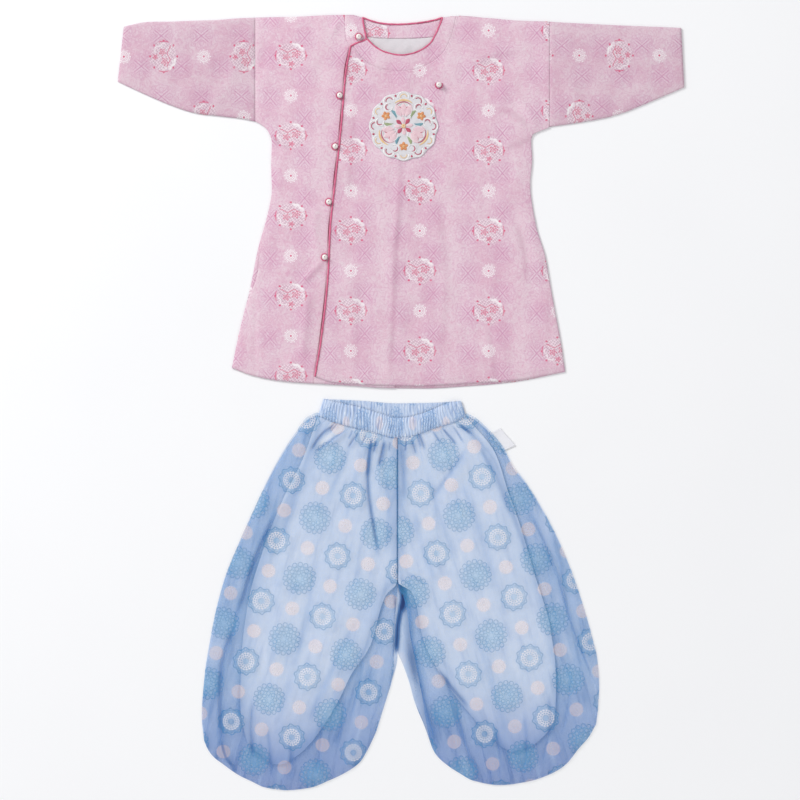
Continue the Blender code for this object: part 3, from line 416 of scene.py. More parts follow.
def distance(x, down, path):
    """Distance from points to a polyline, and how far along it the nearest place lies."""
    best = np.full(x.shape, np.inf)
    along = np.zeros(x.shape)
    count = len(path) - 1
    for i, (a, b) in enumerate(zip(path, path[1:])):
        leg = b - a
        t = np.clip(((x - a[0]) * leg[0] + (down - a[1]) * leg[1]) / max(leg @ leg, 1e-9), 0, 1)
        away = np.hypot(x - a[0] - t * leg[0], down - a[1] - t * leg[1])
        along = np.where(away < best, (i + t) / count, along)
        best = np.minimum(best, away)
    return best, along


def folds(x, down, rows):
    """Sum of soft ridges and troughs, each with tapered ends."""
    total = np.zeros_like(x)
    for *bend, width, rise in rows:
        reach = 3.2 * width
        near = np.ones(x.shape, bool)
        for place, ends in ((x, bend[::2]), (down, bend[1::2])):
            near &= (place > min(ends) - reach) & (place < max(ends) + reach)
        away, along = distance(x[near], down[near], smooth_path(points(*bend), 17))
        taper = np.clip(np.minimum(along, 1 - along) * 5 + 0.12, 0, 1)
        total[near] += rise * taper * np.exp(-(away / width) ** 2)
    return total


def ripple(x, down, length, seed, octaves=4):
    """Slow uneven wander between -1 and 1, for cloth that never lies quite flat."""
    total = np.zeros_like(x)
    for k in range(octaves):
        turn = seed * 1.7 + k * 2.4
        wave = math.tau / (length * (1.25 - 0.21 * k))
        a = (x * math.cos(turn) + down * math.sin(turn)) * wave
        b = (x * math.sin(turn + 0.6) - down * math.cos(turn + 0.6)) * wave * 0.73
        total += np.sin(a + seed + k * 1.3) * np.cos(b + seed * 2.1 - k)
    return total / octaves ** 0.5


def panel_grid(west, east, top, foot, west_span, east_span, us, vs, hug=1):
    """Grid of a panel between two side curves and two end curves."""
    x_top = west(west_span[0]) + (east(east_span[0]) - west(west_span[0])) * us
    x_foot = west(west_span[1]) + (east(east_span[1]) - west(west_span[1])) * us
    down_top, down_foot = top(x_top), foot(x_foot)
    rows_x, rows_down = [], []
    for v in vs:
        x_w = west(west_span[0] + (west_span[1] - west_span[0]) * v)
        x_e = east(east_span[0] + (east_span[1] - east_span[0]) * v)
        plain = x_top + (x_foot - x_top) * v
        rows_x.append(plain + (x_w - plain[0]) * (1 - us) ** hug + (x_e - plain[-1]) * us ** hug)
        rows_down.append(down_top + (down_foot - down_top) * v)
    return np.array(rows_x), np.array(rows_down)


def strip_grid(inner, outer, rows):
    """Grid between two paths."""
    t = np.linspace(0, 1, rows)[:, None]
    return [inner[:, k] * (1 - t) + outer[:, k] * t for k in (0, 1)]


def link(obj):
    bpy.context.scene.collection.objects.link(obj)
    return obj


def add_piece(name, verts, faces, materials, nodes, marks={}, which=None, closed=True):
    """Smooth-shaded object from millimetre points that stands for the named nodes."""
    mesh = bpy.data.meshes.new(name)
    mesh.from_pydata((np.array(verts, float) * METRE).tolist(), [], [list(f) for f in faces])
    for key, values in marks.items():
        layer = mesh.attributes.new(key, "FLOAT", "POINT")
        layer.data.foreach_set("value", np.array(values, np.float32).ravel())
    for material in materials:
        mesh.materials.append(material)
    if which is not None:
        mesh.polygons.foreach_set("material_index", np.array(which, np.int32))
    if closed:
        work = bmesh.new()
        work.from_mesh(mesh)
        bmesh.ops.recalc_face_normals(work, faces=work.faces[:])
        work.to_mesh(mesh)
        work.free()
    mesh.shade_smooth()
    obj = link(bpy.data.objects.new(name, mesh))
    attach(obj, "root")
    if nodes:
        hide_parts(*nodes)
    return obj


def grid_faces(rows, cols, base=0):
    """Quads of a grid; as the rows run down the garment they face up."""
    starts = [base + r * cols + c for r in range(rows - 1) for c in range(cols - 1)]
    return [(a, a + cols, a + cols + 1, a + 1) for a in starts]


def ring_faces(first, second, size):
    """Quads between two closed rings of points that start at the given numbers."""
    return [(first + k, second + k, second + (k + 1) % size, first + (k + 1) % size)
            for k in range(size)]


def stacked_rings(count, size, base=0):
    """Quads of a tube of so many rings."""
    return [face for i in range(count - 1)
            for face in ring_faces(base + i * size, base + (i + 1) * size, size)]


def wall(x, down, low, high, origin_y):
    """Points and faces of a closed wall between two height fields over one grid."""
    rows, cols = x.shape
    half = rows * cols
    verts = np.vstack([sheet_points(x, down, z, origin_y) for z in (high, low)])
    faces = grid_faces(rows, cols) + grid_faces(rows, cols, half)
    rim = ([c for c in range(cols)] + [r * cols + cols - 1 for r in range(1, rows)]
           + [(rows - 1) * cols + c for c in range(cols - 2, -1, -1)]
           + [r * cols for r in range(rows - 2, 0, -1)])
    faces += [(a, b, half + b, half + a) for a, b in zip(rim, rim[1:] + rim[:1])]
    return verts, faces


def sheet_points(x, down, z, origin_y):
    """Points of a sheet, in the frame's own axes, from their places on a garment."""
    return np.column_stack([x.ravel(), origin_y - down.ravel(), z.ravel()])


def lay_panel(node, x, down, low, high, finish, marks={},
              origin_y=TOP_Y, name=None):
    """Wall of cloth laid flat in place of one node."""
    verts, faces = wall(x, down, low, high, origin_y)
    marks = {key: np.tile(mark.ravel(), 2) for key, mark in marks.items()}
    obj = add_piece(name or f"{node}_cloth", verts, faces, [finish], [node], marks)


def spread(count, power=1.0):
    """Shares from none to one, closer together at both ends for a power below one."""
    t = np.linspace(-1, 1, count)
    return 0.5 + 0.5 * np.sign(t) * np.abs(t) ** power


# Outer edge of the whole top, open at the neck
TOP_OUTLINE = np.vstack([
    trace(SHOULDER_WEST, True, 20)[::-1], smooth_path(RIGHT_SLEEVE_TOP, 20),
    smooth_path(RIGHT_SLEEVE_UNDER, 20)[::-1], trace(BODY_WEST[1:], count=50),
    trace(HEM, True, 40), trace(BODY_EAST[1:], count=50)[::-1],
    smooth_path(LEFT_SLEEVE_UNDER, 20), smooth_path(LEFT_SLEEVE_TOP, 20)[::-1],
    trace(SHOULDER_EAST, True, 20)[::-1]])


def top_lift(x, down, rows=(), seed=1.0):
    """Height of the cloth over its lowest place, from its rounded edge and its folds."""
    away, _ = distance(x, down, TOP_OUTLINE)
    puff = 1 - np.exp(-away / TOP_ROLL)
    wander = RIPPLE * ripple(x, down, 70, seed) + 0.3 * RIPPLE * ripple(x, down, 23, seed + 3)
    armholes = sum(np.exp(-((x - a[0].x) / SEAM_WIDTH) ** 2) for a in (BODY_WEST, BODY_EAST))
    return (TOP_PUFF + folds(x, down, rows) + wander - SEAM_SINK * armholes) * puff


def under_low(x, down):
    return LAYER + top_lift(x, down, UNDER_FOLDS)


def between_buttons(down):
    """None at each closing button, rising to one midway to the next."""
    held = [b.down for b in BUTTONS[:-1]] + [PLACKET[-1].down]
    between = np.zeros_like(down)
    for upper, lower in zip(held, held[1:]):
        t = np.clip((down - upper) / (lower - upper), 0, 1)
        between = np.maximum(between, np.sin(math.pi * t) ** 2)
    return between


def outer_low(x, down):
    """Underside of the outer front: it climbs the under front, and lifts between its buttons."""
    over_under = 1 / (1 + np.exp((x - curve(UNDER_EDGE)(down) - UNDER_MARGIN) / UNDER_FALL))
    away, _ = distance(x, down, smooth_path(PLACKET, 40))
    edge_lift = EDGE_LIFT * between_buttons(down) * np.exp(-away / EDGE_LIFT_REACH)
    lie = LAYER + top_lift(x, down, OUTER_FOLDS)
    return lie + (LAYER + FILM) * over_under + edge_lift


def shifted(path, shift):
    """The path moved sideways: to its left as it runs, for a positive shift."""
    way = np.gradient(path, axis=0)
    way /= np.linalg.norm(way, axis=1)[:, None]
    return path + np.column_stack([way[:, 1], -way[:, 0]]) * shift


def build_top_back(pink):
    x, down = panel_grid(curve(BODY_WEST), curve(BODY_EAST), curve(BACK_TOP_LINE, across=True),
                         curve(HEM, across=True), (5, 565), (11, 571),
                         spread(90, 0.8), np.linspace(0, 1, 110), SIDE_HUG)
    low = np.maximum(0.12 + 0.1 * ripple(x, down, 60, 7.0), FLOOR_CLEAR)
    lay_panel("top_back", x, down, low, low + THIN_WALL, pink)


def build_front_right(pink):
    west_curve = curve(BODY_WEST)

    def west(down):
        t = np.clip((down - SLIT_TOP) / (SLIT_END - SLIT_TOP), 0, 1)
        return west_curve(down) + SLIT_INSET * np.sin(math.pi * t) ** 2
    x, down = panel_grid(west, curve(UNDER_NECK + UNDER_EDGE),
                         curve(SHOULDER_WEST[:4], across=True), curve(HEM, across=True),
                         (5, 565), (1, 596), np.linspace(0, 1, 130) ** 0.9,
                         np.linspace(0, 1, FINE_ROWS), SIDE_HUG)
    low = under_low(x, down)
    # Painted shadow on the under front just west of the outer front's closing edge, strongest
    # midway between two buttons where the edge lifts; the layers mark here is painted shade in the
    # under front's creases
    past = GAP_SHADOW_PLACE + np.clip(curve(PLACKET)(down) - x - PIPE_SHADOW, -9, 9)
    shadow = (0.2 + 0.8 * between_buttons(down)) * (down > PLACKET[0].down)
    lay_panel("top_front_right", x, down, low, low + WALL, pink,
              {"layers": folds(x, down, UNDER_CREASE_SHADE), "past": past, "gap": shadow})


def build_front_left(pink):
    start, end = PLACKET[0], BODY_EAST[0]
    top = np.vstack([start, smooth_path(COLLAR_SEAM, 90)[1:], trace(SHOULDER_EAST[2:], True, 20)])
    hem = curve(OUTER_HEM, across=True)
    x, down = panel_grid(curve(PLACKET), curve(BODY_EAST), lambda a: np.interp(a, *top.T), hem,
                         (start.down, 579), (end.down, 571), np.linspace(0, 1, FINE_COLUMNS),
                         np.linspace(0, 1, FINE_ROWS), SIDE_HUG)
    low = outer_low(x, down)
    hem_roll = 0.5 * np.exp(-(hem(x) - down) / 5)
    # The layers mark here is painted shade in the outer front's creases
    lay_panel("top_front_left", x, down, low, low + WALL - hem_roll, pink,
              {"layers": folds(x, down, OUTER_CREASE_SHADE)})


def tube_mesh(outer, inner, origin_y):
    """Points and faces of the wall between two sets of rings, open at both ends."""
    count, size = len(outer), len(outer[0])
    rings = np.array([*outer, *inner], float).reshape(-1, 3)
    skin = count * size
    faces = stacked_rings(count, size)
    faces += [face[::-1] for face in stacked_rings(count, size, skin)]
    for end in (0, skin - size):
        faces += ring_faces(end, skin + end, size)
    return sheet_points(*rings.T, origin_y), faces


def build_sleeve(side, top, under, pink):
    """Flattened tube: its lower wall is flat, and its upper one rises from both edges."""
    top_line, under_line = smooth_path(top, 60), smooth_path(under, 60)
    across = spread(56, 0.7)
    outer, inner = [], []
    top_line[0, 0] -= LAP * np.sign(top[-1].x)
    under_line[0, 0] = top_line[0, 0]
    for a, b in zip(top_line, under_line):
        inset = WALL / np.hypot(*(b - a))
        line, inside = (a + (b - a) * share[:, None]
                        for share in (across, np.clip(across, inset, 1 - inset)))
        high = 2 * LAYER + top_lift(line[:, 0], line[:, 1], SLEEVE_FOLDS)
        from_seam = line[:, 0] - top[0].x
        high -= (LAYER - WALL) * np.exp(-(from_seam / 8) ** 2)
        high -= SLEEVE_SINK * np.exp(-(from_seam / 3) ** 2)
        low = np.full(len(across), 0.06)
        roof = np.maximum(high - THIN_WALL, WALL + HOLLOW)
        floor = np.full(len(across), 0.9 * WALL)
        for z, at_edge in ((high, 2 * LAYER * FOLD_HIGH), (low, 2 * LAYER * FOLD_LOW),
                           (roof, WALL + HOLLOW_EDGE_HIGH), (floor, WALL + HOLLOW_EDGE_LOW)):
            z[[0, -1]] = at_edge
        for rings, way, upper, lower in ((outer, line, high, low), (inner, inside, roof, floor)):
            rings.append(np.column_stack([np.vstack([way, way[::-1]]),
                                          np.concatenate([upper, lower[::-1]])]))
    verts, faces = tube_mesh(outer, inner, TOP_Y)
    obj = add_piece(f"sleeve_{side}_cloth", verts, faces, [pink], [f"sleeve_{side}"])


def build_collar(pink, plain_pink, white):
    """The collar's two bands, and the facing and lining that show inside the neck."""
    fall = np.linspace(0, 1, 14)[:, None]
    rise = COLLAR_LIFT * np.sqrt(np.clip(1 - fall ** 10, 0, 1)) - LAP_SINK * fall ** 40
    seam = shifted(smooth_path(COLLAR_SEAM, 100), -LAP)
    for node, inner, outer, height, under in (
            ("collar_front", smooth_path(FRONT_NECK, 100), seam, outer_low, "top_front_left"),
            ("collar_shoulder", smooth_path(SHOULDER_INNER, 30), smooth_path(SHOULDER_OUTER, 30),
             under_low, "top_front_right")):
        x, down = strip_grid(inner, outer, 14)
        low = height(x, down)
        lay_panel(node, x, down, low, low + WALL + rise, pink)
    foot = curve(FACING_FOOT, across=True)
    top = curve([Point(p.x, p.down + 2.4) for p in BACK_NECK], across=True)
    for node, west, east, ends, span, rows, wander, thick, finish, slot in (
            ("back_facing", FACING_WEST, FACING_EAST, (top, foot), (12, 30), 12,
             (0.15, 25, 4.0), WALL, plain_pink, "pink_cloth"),
            ("back_lining", LINING_SIDE_WEST, LINING_SIDE_EAST, (foot, lambda a: 0 * a + 120),
             (36, 118), 40, (0.3, 30, 9.0), 0.6 * WALL, white, "white_lining")):
        x, down = panel_grid(curve(west), curve(east), *ends, span, span,
                             np.linspace(0, 1, 60), np.linspace(0, 1, rows))
        low = LAYER + wander[0] * ripple(x, down, *wander[1:])
        lay_panel(node, x, down, low, low + thick, finish)


def cord_mesh(centres, radius, sides=10, twist=0.0):
    """Points and faces of a round cord through 3-D centres, closed at both ends."""
    pts = np.array(centres, float)
    way = np.gradient(pts, axis=0)
    way /= np.linalg.norm(way, axis=1)[:, None]
    across = np.cross(way, (0, 0, 1.0))
    across /= np.linalg.norm(across, axis=1)[:, None]
    rise = np.cross(across, way)
    verts = []
    for i, (centre, a, b) in enumerate(zip(pts, across, rise)):
        taper = 0.75 if i in (0, len(pts) - 1) else 1
        for k in range(sides):
            turn = math.tau * k / sides
            r = radius * taper * (1 + 0.12 * math.sin(2 * turn + twist * i))
            verts.append(centre + r * (a * math.cos(turn) + b * math.sin(turn)))
    last = len(verts) - sides
    caps = [tuple(range(sides)), tuple(range(len(verts) - 1, last - 1, -1))]
    return verts, caps + stacked_rings(len(pts), sides)


def above(path, low, lift, place=None):
    """3-D line on the top's cloth, lifted over the height under the path."""
    place = path if place is None else place
    return np.column_stack([place[:, 0], TOP_Y - place[:, 1],
                            low(path[:, 0], path[:, 1]) + lift])


def build_piping(rose):
    """Piping along the neck and the closing edge, moved sideways off it and up on its panel."""
    downs = np.linspace(PLACKET[0].down, PLACKET[-1].down, 330)
    edge = np.column_stack([curve(PLACKET)(downs), downs])
    closing = np.vstack([smooth_path(FRONT_NECK[:1] + PIPE_CORNER, 24)[:-1], edge])
    for node, path, low, shift in (
            ("neck_front", smooth_path(FRONT_NECK, 120), outer_low, PIPE_NECK_SHIFT),
            ("neck_shoulder", smooth_path(NECK_END, 44), under_low, PIPE_NECK_SHIFT),
            ("neck_back", smooth_path(BACK_NECK, 110), lambda x, down: 0 * x, PIPE_NECK_SHIFT),
            ("placket", closing, outer_low, PIPE_CLOSING_SHIFT)):
        verts, faces = cord_mesh(above(path, low, PIPE_R, shifted(path, shift)),
                                 PIPE_R + PIPE_SWELL, twist=0.5)
        add_piece(f"piping_{node}_cord", verts, faces, [rose], [f"piping_{node}"])


def pearl_profile(steps=14):
    """Radius and height of a drilled pearl, from the hole in its top to its flattened foot."""
    rows = [(0.08, 0.8), (0.14, 0.96)]
    for turn in math.pi * np.arange(1, steps) / steps:
        squash = 0.97 if turn < math.pi / 2 else 0.93
        rows.append((math.sin(turn), math.cos(turn) * squash))
    return rows + [(0.12, -0.93)]


def build_buttons(pearl, rose):
    sides = 26
    profile = pearl_profile()
    for button in BUTTONS:
        low = outer_low if button.name == "chest" else under_low
        ring = np.radians(np.arange(0, 360, 45))
        seat = low(button.x + PEARL_FOOT * np.cos(ring), button.down + PEARL_FOOT * np.sin(ring))
        centre = np.array([button.x, TOP_Y - button.down, seat.max() + WALL + PEARL_SEAT + PEARL_R])
        verts = [centre + PEARL_R * np.array([r * math.cos(t), r * math.sin(t), z])
                 for r, z in profile for t in math.tau * np.arange(sides) / sides]
        caps = [tuple(range(sides))[::-1], tuple(range(len(verts) - sides, len(verts)))]
        # Points about the hole in the pearl's top, where shade is painted
        drilled = np.repeat([r < 0.16 and z > 0 for r, z in profile], sides)
        add_piece(f"pearl_{button.name}_bead", verts, caps + stacked_rings(len(profile), sides),
                  [pearl], [f"pearl_{button.name}"], {"drilled": drilled})

        ahead = np.array([button.loop_x, -button.loop_down])
        side = np.array([-ahead[1], ahead[0]])
        turns = np.radians(np.linspace(-LOOP_HALF_ANGLE, LOOP_HALF_ANGLE, 40))[:, None]
        arc = centre[:2] + LOOP_TURN * (-np.cos(turns) * ahead + np.sin(turns) * side)
        x, down = arc[:, 0], TOP_Y - arc[:, 1]
        heights = low(x, down)
        if button.name != "chest":
            heights = np.where(x > curve(PLACKET)(down), outer_low(x, down), heights)
        heights = np.pad(heights + WALL + LOOP_R + LOOP_SEAT, 2, mode="edge")
        heights = np.convolve(heights, np.ones(5) / 5, mode="valid")
        verts, faces = cord_mesh(np.column_stack([arc, heights]), LOOP_R, 8, twist=0.8)
        add_piece(f"loop_{button.name}_cord", verts, faces, [rose], [f"loop_{button.name}"])


def on_medallion(across, up):
    """Height of the applique's base cloth at places given from its centre."""
    return outer_low(MEDALLION.x + across, MEDALLION.down - up) + WALL + GAP


def satin(path, widths, rise, pitch=0.9):
    """Padded satin stitch along a line: a low dome ribbed across by its threads."""
    way = np.gradient(path, axis=0)
    way /= np.maximum(np.linalg.norm(way, axis=1), 1e-9)[:, None]
    side = np.column_stack([-way[:, 1], way[:, 0]])
    spans = np.array([-1, -0.93, -0.6, 0, 0.6, 0.93, 1])
    rib = 0.14 * np.sin(math.tau * run_of(path) / pitch * 0.5)
    verts = []
    for centre, out, width, ridge in zip(path, side, widths, rib):
        for span in spans:
            place = centre + out * span * max(width, 0.15) / 2
            verts.append((*place, (rise + ridge) * math.sqrt(max(1 - span * span, 0))))
    verts = np.array(verts)
    verts[:, 2] += on_medallion(verts[:, 0], verts[:, 1]) + THIN_WALL
    return verts, grid_faces(len(path), len(spans))


def at_turn(radius, angle):
    return radius * math.cos(math.radians(angle)), radius * math.sin(math.radians(angle))


def medallion_motifs():
    """Embroidery of a plain rosette: thread colour, then the stitched shape."""
    motifs = []

    def arc(thread, centre, radius, middle, before, after, count, width, rise, taper=None):
        """Stitched arc about a middle angle, of one width or tapered to both ends."""
        turns = np.radians(np.linspace(middle - before, middle + after, count))
        path = np.column_stack([centre[0] + radius * np.cos(turns),
                                centre[1] + radius * np.sin(turns)])
        shape = np.ones(count) if taper is None else np.sin(np.linspace(*taper, count))
        motifs.append((thread, satin(path, width * shape, rise)))

    def leaf(thread, root, angle, length, width, rise, bend=0.0):
        """Petal or leaf from its root, at an angle, with its widest place past half."""
        t = np.linspace(0, 1, max(int(length / 0.7), 8))
        turn = math.radians(angle)
        sway = bend * np.sin(math.pi * t)
        path = np.column_stack([root[0] + length * t * math.cos(turn) - sway * math.sin(turn),
                                root[1] + length * t * math.sin(turn) + sway * math.cos(turn)])
        motifs.append((thread, satin(path, width * np.sin(math.pi * t ** 1.25) ** 0.8, rise)))

    for k in range(SCALLOPS):
        middle, joint = (k + 0.5) * 360 / SCALLOPS, k * 360 / SCALLOPS
        tip = at_turn(MEDALLION_R - 9.5, joint)
        arc("white", tip, 8.6, joint, 100, 100, 40, 1.9, 0.7)
        if k % 2 == 0:
            arc("rose", tip, 5.4, joint, 95, 75, 26, 1.5, 0.8)
        else:
            arc("cream", tip, 5.0, joint, 80, 95, 26, 1.4, 0.7)
        leaf("rose", at_turn(MEDALLION_R - 8.0, middle), middle, 4.4, 3.6, 0.9)
    for turn in (30, 150, 270):
        blossom = at_turn(32.5, turn)
        for p in range(5):
            leaf("orange", blossom, turn + 36 + 72 * p, 7.4, 5.4, 0.8)
        arc("cream", blossom, 1.2, 0, 0, 330, 12, 2.2, 1.3)
        for swing in (-1, 1):
            curl = at_turn(38.5, turn + 21 * swing)
            first = turn + 21 * swing + 90
            arc("white", curl, 6.4, first, 150, 150, 34, 1.7, 0.8)
            arc("rose", curl, 4.2, first, 120, 60, 20, 1.8, 0.9, (0.2, 2.9))
            arc("white", at_turn(20, turn + 44 * swing), 7.4, turn, 150, 60, 30, 1.3, 0.6)
        for swing, thread in ((-27, "teal"), (27, "green")):
            leaf(thread, at_turn(17, turn + swing * 0.6), turn + swing, 15, 5.2, 0.8, swing / 12)
            arc("rose", at_turn(26, turn + swing * 1.5), 6.2, turn + swing * 4, 60, 80, 22, 1.5,
                0.7, (0.3, 2.9))
        across = turn + 60
        for swing in (-25, 0, 25):
            leaf("pale", at_turn(15, across + swing * 0.5), across + swing, 21, 11.5, 0.9)
        arc("rose", at_turn(23, across), 15.5, across, 52, 52, 44, 1.7, 1.0, (0.25, 2.9))
        arc("cream", at_turn(20, across), 21.5, across, 40, 40, 40, 3.6, 0.7, (0.2, 2.95))
        arc("white", at_turn(24, across), 12.6, across, 130, 130, 50, 1.2, 0.9)
    for k in range(8):
        leaf("rose" if k % 2 else "pale", at_turn(3.5, 45 * k), 45 * k + 8, 11.5, 6.4, 1.0)
    arc("cream", (0, 0), 2.0, 0, 0, 345, 20, 3.4, 1.6)
    return motifs


def build_medallion(ground, threads):
    """Scalloped base cloth, and the raised embroidery worked on it as a piece of its own."""
    sectors, rings = 240, 30
    turns = np.arange(sectors) * math.tau / sectors
    shares = np.linspace(0.02, 1, rings)[:, None]
    rim = MEDALLION_R - SCALLOP_DEPTH * (1 - np.abs(np.cos(SCALLOPS * turns / 2)))
    across, up = (shares * rim * f(turns) for f in (np.cos, np.sin))
    low = on_medallion(across, up)
    crown = THIN_WALL + 0.35 * np.exp(-((shares - 0.965) / 0.02) ** 2)
    centre = (MEDALLION.x, TOP_Y - MEDALLION.down, 0)
    verts = np.vstack([sheet_points(across, -up, z, 0) for z in (low + crown, low)]) + centre
    size = across.size
    faces = [tuple(range(sectors))[::-1], tuple(range(size, size + sectors))]
    for layer in (0, size):
        faces += stacked_rings(rings, sectors, layer)
    faces += ring_faces(size - sectors, 2 * size - sectors, sectors)
    obj = add_piece("medallion_base_cloth", verts, faces, [ground], ["medallion"])
    verts, faces, which = [], [], []
    names = list(threads)
    count = 0
    for thread, (stitches, quads) in medallion_motifs():
        verts.append(stitches + centre)
        faces += [tuple(v + count for v in quad) for quad in quads]
        which += [names.index(thread)] * len(quads)
        count += len(stitches)
    add_piece("medallion_embroidery", np.vstack(verts), faces, list(threads.values()), [],
              which=which)


def under_band(x):
    """Top edge of a leg's front panel, tucked below the band's seam."""
    return curve(BAND_FRONT_SEAM, across=True)(x) - LEG_TUCK


def gather(t, count, seed):
    """Uneven gathers across a share of the cloth, between -1 and 1."""
    drift = 0.35 * np.sin(7.1 * t + seed) + 0.22 * np.sin(17.3 * t + 2.3 * seed)
    turn = math.tau * (count * t + 2.2 * drift)
    return (np.sin(turn) + 0.35 * np.sin(2.7 * turn + seed)) / 1.35


def from_edge(x, down, west):
    """Distance from a leg's free edges, open along the band and the centre seam."""
    outer, foot, inner = ((LEG_WEST, FOOT_WEST, INSEAM_WEST) if west else
                          (LEG_EAST, FOOT_EAST, INSEAM_EAST))
    away, _ = distance(x, down, np.vstack([trace(outer), trace(foot, True)[::1 if west else -1],
                                           trace(inner)[::-1]]))
    return away


def lining_sides(west):
    """Outer and inner side of a leg's lining, the outer one with the foot's lowest place."""
    line = LINING_WEST if west else LINING_EAST
    turn = max(range(len(line)), key=lambda i: line[i].down) + 1
    inner = line[turn:][::-1]
    return line[:turn], (Point(inner[0].x, 45),) + inner


def lining_edge_shade(x, down, west):
    """Painted shade over the lining's edge, where the puffed leg rounds down to it."""
    outer, inner = lining_sides(west)
    away = np.minimum(*(distance(x, down, trace(side, count=50))[0] for side in (outer, inner)))
    low, high = (curve(side)(down) for side in ((outer, inner) if west else (inner, outer)))
    inside = (x > low) & (x < high) & (down < outer[-1].down)
    return LINING_EDGE_SHADE * np.exp(-away / np.where(inside, 10.0 if west else 6.0, 4.0))


def leg_low(x, down, west, away):
    """Height of a leg's front, from its rounded edge and its folds, and clear of the lining."""
    seed = 2.0 if west else 5.0
    seam = 0.3 * SEAM_DIP * np.exp(-((x - CENTRE_SEAM) / SEAM_DIP_WIDTH) ** 2)
    wander = LEG_RIPPLE * (ripple(x, down, 90, seed) + 0.45 * ripple(x, down, 32, seed + 1))
    rise = (LEG_PUFF + folds(x, down, WEST_FOLDS if west else EAST_FOLDS)
            - seam * (down < FRONT_CROTCH) + wander)
    over_lining = LINING_Z + WALL + GAP + LINING_CLEAR - LAYER
    return LAYER + np.maximum(rise * (1 - np.exp(-away / LEG_ROLL)),
                              over_lining * np.clip((away - LINING_EDGE) / LINING_RAMP, 0, 1))


def leg_frame(west, inner, first):
    """Side curves of a leg, their spans and its foot, from its inner side and where it starts."""
    outer, foot = (LEG_WEST, FOOT_WEST) if west else (LEG_EAST, FOOT_EAST)
    sides = [(curve(outer), (outer[0].down, outer[-1].down)),
             (curve(inner), (first, inner[-1].down))]
    edges, spans = zip(*(sides if west else sides[::-1]))
    return edges, spans, curve(foot, across=True)


def lay_leg(part, west, x, down, z, finish, marks):
    """Single skin of leg cloth: its underside is left out, because nothing shows it."""
    side, cloth = "right" if west else "left", "cloth" if part == "lining" else "voile"
    obj = add_piece(f"leg_{part}_{side}_{cloth}", sheet_points(x, down, z, TROUSER_Y),
                    grid_faces(*x.shape), [finish], [f"leg_{part}_{side}"],
                    marks, closed=False)


def to_foot(down):
    """None on most of a leg, rising to one at its foot."""
    return np.clip((down - FOOT_TONE_START) / FOOT_TONE_REACH, 0, 1)


def build_leg_front(west, sheer):
    inner = (points(CENTRE_SEAM, 60) + INSEAM_WEST if west else
             points(CENTRE_SEAM, 60, CENTRE_SEAM, 290, -4, 306) + INSEAM_EAST)
    edges, spans, foot = leg_frame(west, inner, 62.5)
    us = spread(LEG_COLUMNS, 0.9)
    x, down = panel_grid(*edges, under_band, foot, *spans, us,
                         np.linspace(0, 1, LEG_ROWS) ** 1.15)
    away = from_edge(x, down, west)
    low = leg_low(x, down, west, away)
    t = us[None, :]
    run = down - under_band(x)
    seed = 1.0 if west else 4.0
    reach = GATHER_FADE * (0.7 + 1.1 * np.sin(9.0 * t + 1.3 * seed) ** 2)
    uneven = 0.55 + 0.45 * np.sin(23 * t + 2 * seed)
    gathers = (gather(t, PLEATS, seed) * uneven * np.exp(-np.abs(run) / reach)
               + 0.6 * gather(t, FINE_PLEATS, seed + 1) * np.exp(-np.abs(run) / FINE_FADE)
               + 0.5 * gather(t, FOOT_PLEATS, seed + 2) * np.exp(-(foot(x) - down) / FOOT_FADE))
    tuck = np.clip(run / 9, 0, 1)
    z = LAYER + (low - LAYER) * (0.35 + 0.65 * tuck) + PLEAT_RISE * gathers * (0.25 + 0.75 * tuck)
    sunk = folds(x, down, PLEATS_WEST if west else PLEATS_EAST)
    z = np.maximum(np.maximum(z, 0.9) + 0.25 - PLEAT_DEPTH * sunk, 1.1)
    # The layers mark: doubled thin cloth at folds, pleats and free edges, with painted shade in the
    # folds, pleats and over the lining's edge, painted shade in the gathers' troughs and painted
    # light on their ridges
    layers = folds(x, down, DARK_WEST if west else DARK_EAST) + sunk + lining_edge_shade(x, down, west)
    pleat = 0.7 * np.clip(-gathers - 0.1, 0, 1) - 0.3 * np.clip(gathers, 0, 1)
    layers = np.clip(layers + pleat + 0.35 * np.exp(-away / 1.6), -0.25, 1.2)
    lay_leg("front", west, x, down, z, sheer,
            {"layers": layers, "bottom": to_foot(down)})


def build_leg_back(west, sheer):
    inner = (points(CENTRE_SEAM, 38, CENTRE_SEAM, BACK_CROTCH) + INSEAM_WEST[4:] if west else
             points(CENTRE_SEAM, 38, CENTRE_SEAM, 405) + BACK_INSEAM_EAST)
    edges, spans, foot = leg_frame(west, inner, 40)
    top = curve(BAND_BACK_SEAM, across=True)
    x, down = panel_grid(*edges, lambda a: top(a) - 1, foot, *spans, spread(110, 0.9),
                         np.linspace(0, 1, 120))
    z = np.maximum(0.35 + 0.25 * ripple(x, down, 45, 3.0), FLOOR_CLEAR)
    # The layers mark here is doubled cloth, and painted shade between the legs
    lay_leg("back", west, x, down, z, sheer,
            {"layers": np.clip(folds(x, down, BACK_DARK), 0, 2.4), "bottom": to_foot(down)})


def build_leg_lining(west, white):
    sides = lining_sides(west)
    ends = sorted(side[-1] for side in sides)
    if not west:
        sides = sides[::-1]
    x, down = panel_grid(*map(curve, sides), lambda a: under_band(a) + 4,
                         lambda a: np.interp(a, *zip(*ends)),
                         *((side[0].down, side[-1].down) for side in sides),
                         np.linspace(0, 1, 110), np.linspace(0, 1, 130))
    z = LINING_Z + 0.4 + 0.3 * ripple(x, down, 40, 6.0) + 0.25 * ripple(x, down, 14, 8.0)
    settle = np.clip(from_edge(x, down, west) / LINING_SETTLE, 0, 1)
    shade = np.clip(1 - (down.max() - down) / LINING_FADE, 0, 1) ** 1.3
    lay_leg("lining", west, x, down, LINING_LOW + (z - LINING_LOW) * settle, white,
            {"bottom": shade})


def band_line(line, along):
    """Places along one line of the band, from its west end to its east end."""
    x = line[0].x + (line[-1].x - line[0].x) * along
    return x, curve(line, across=True)(x)


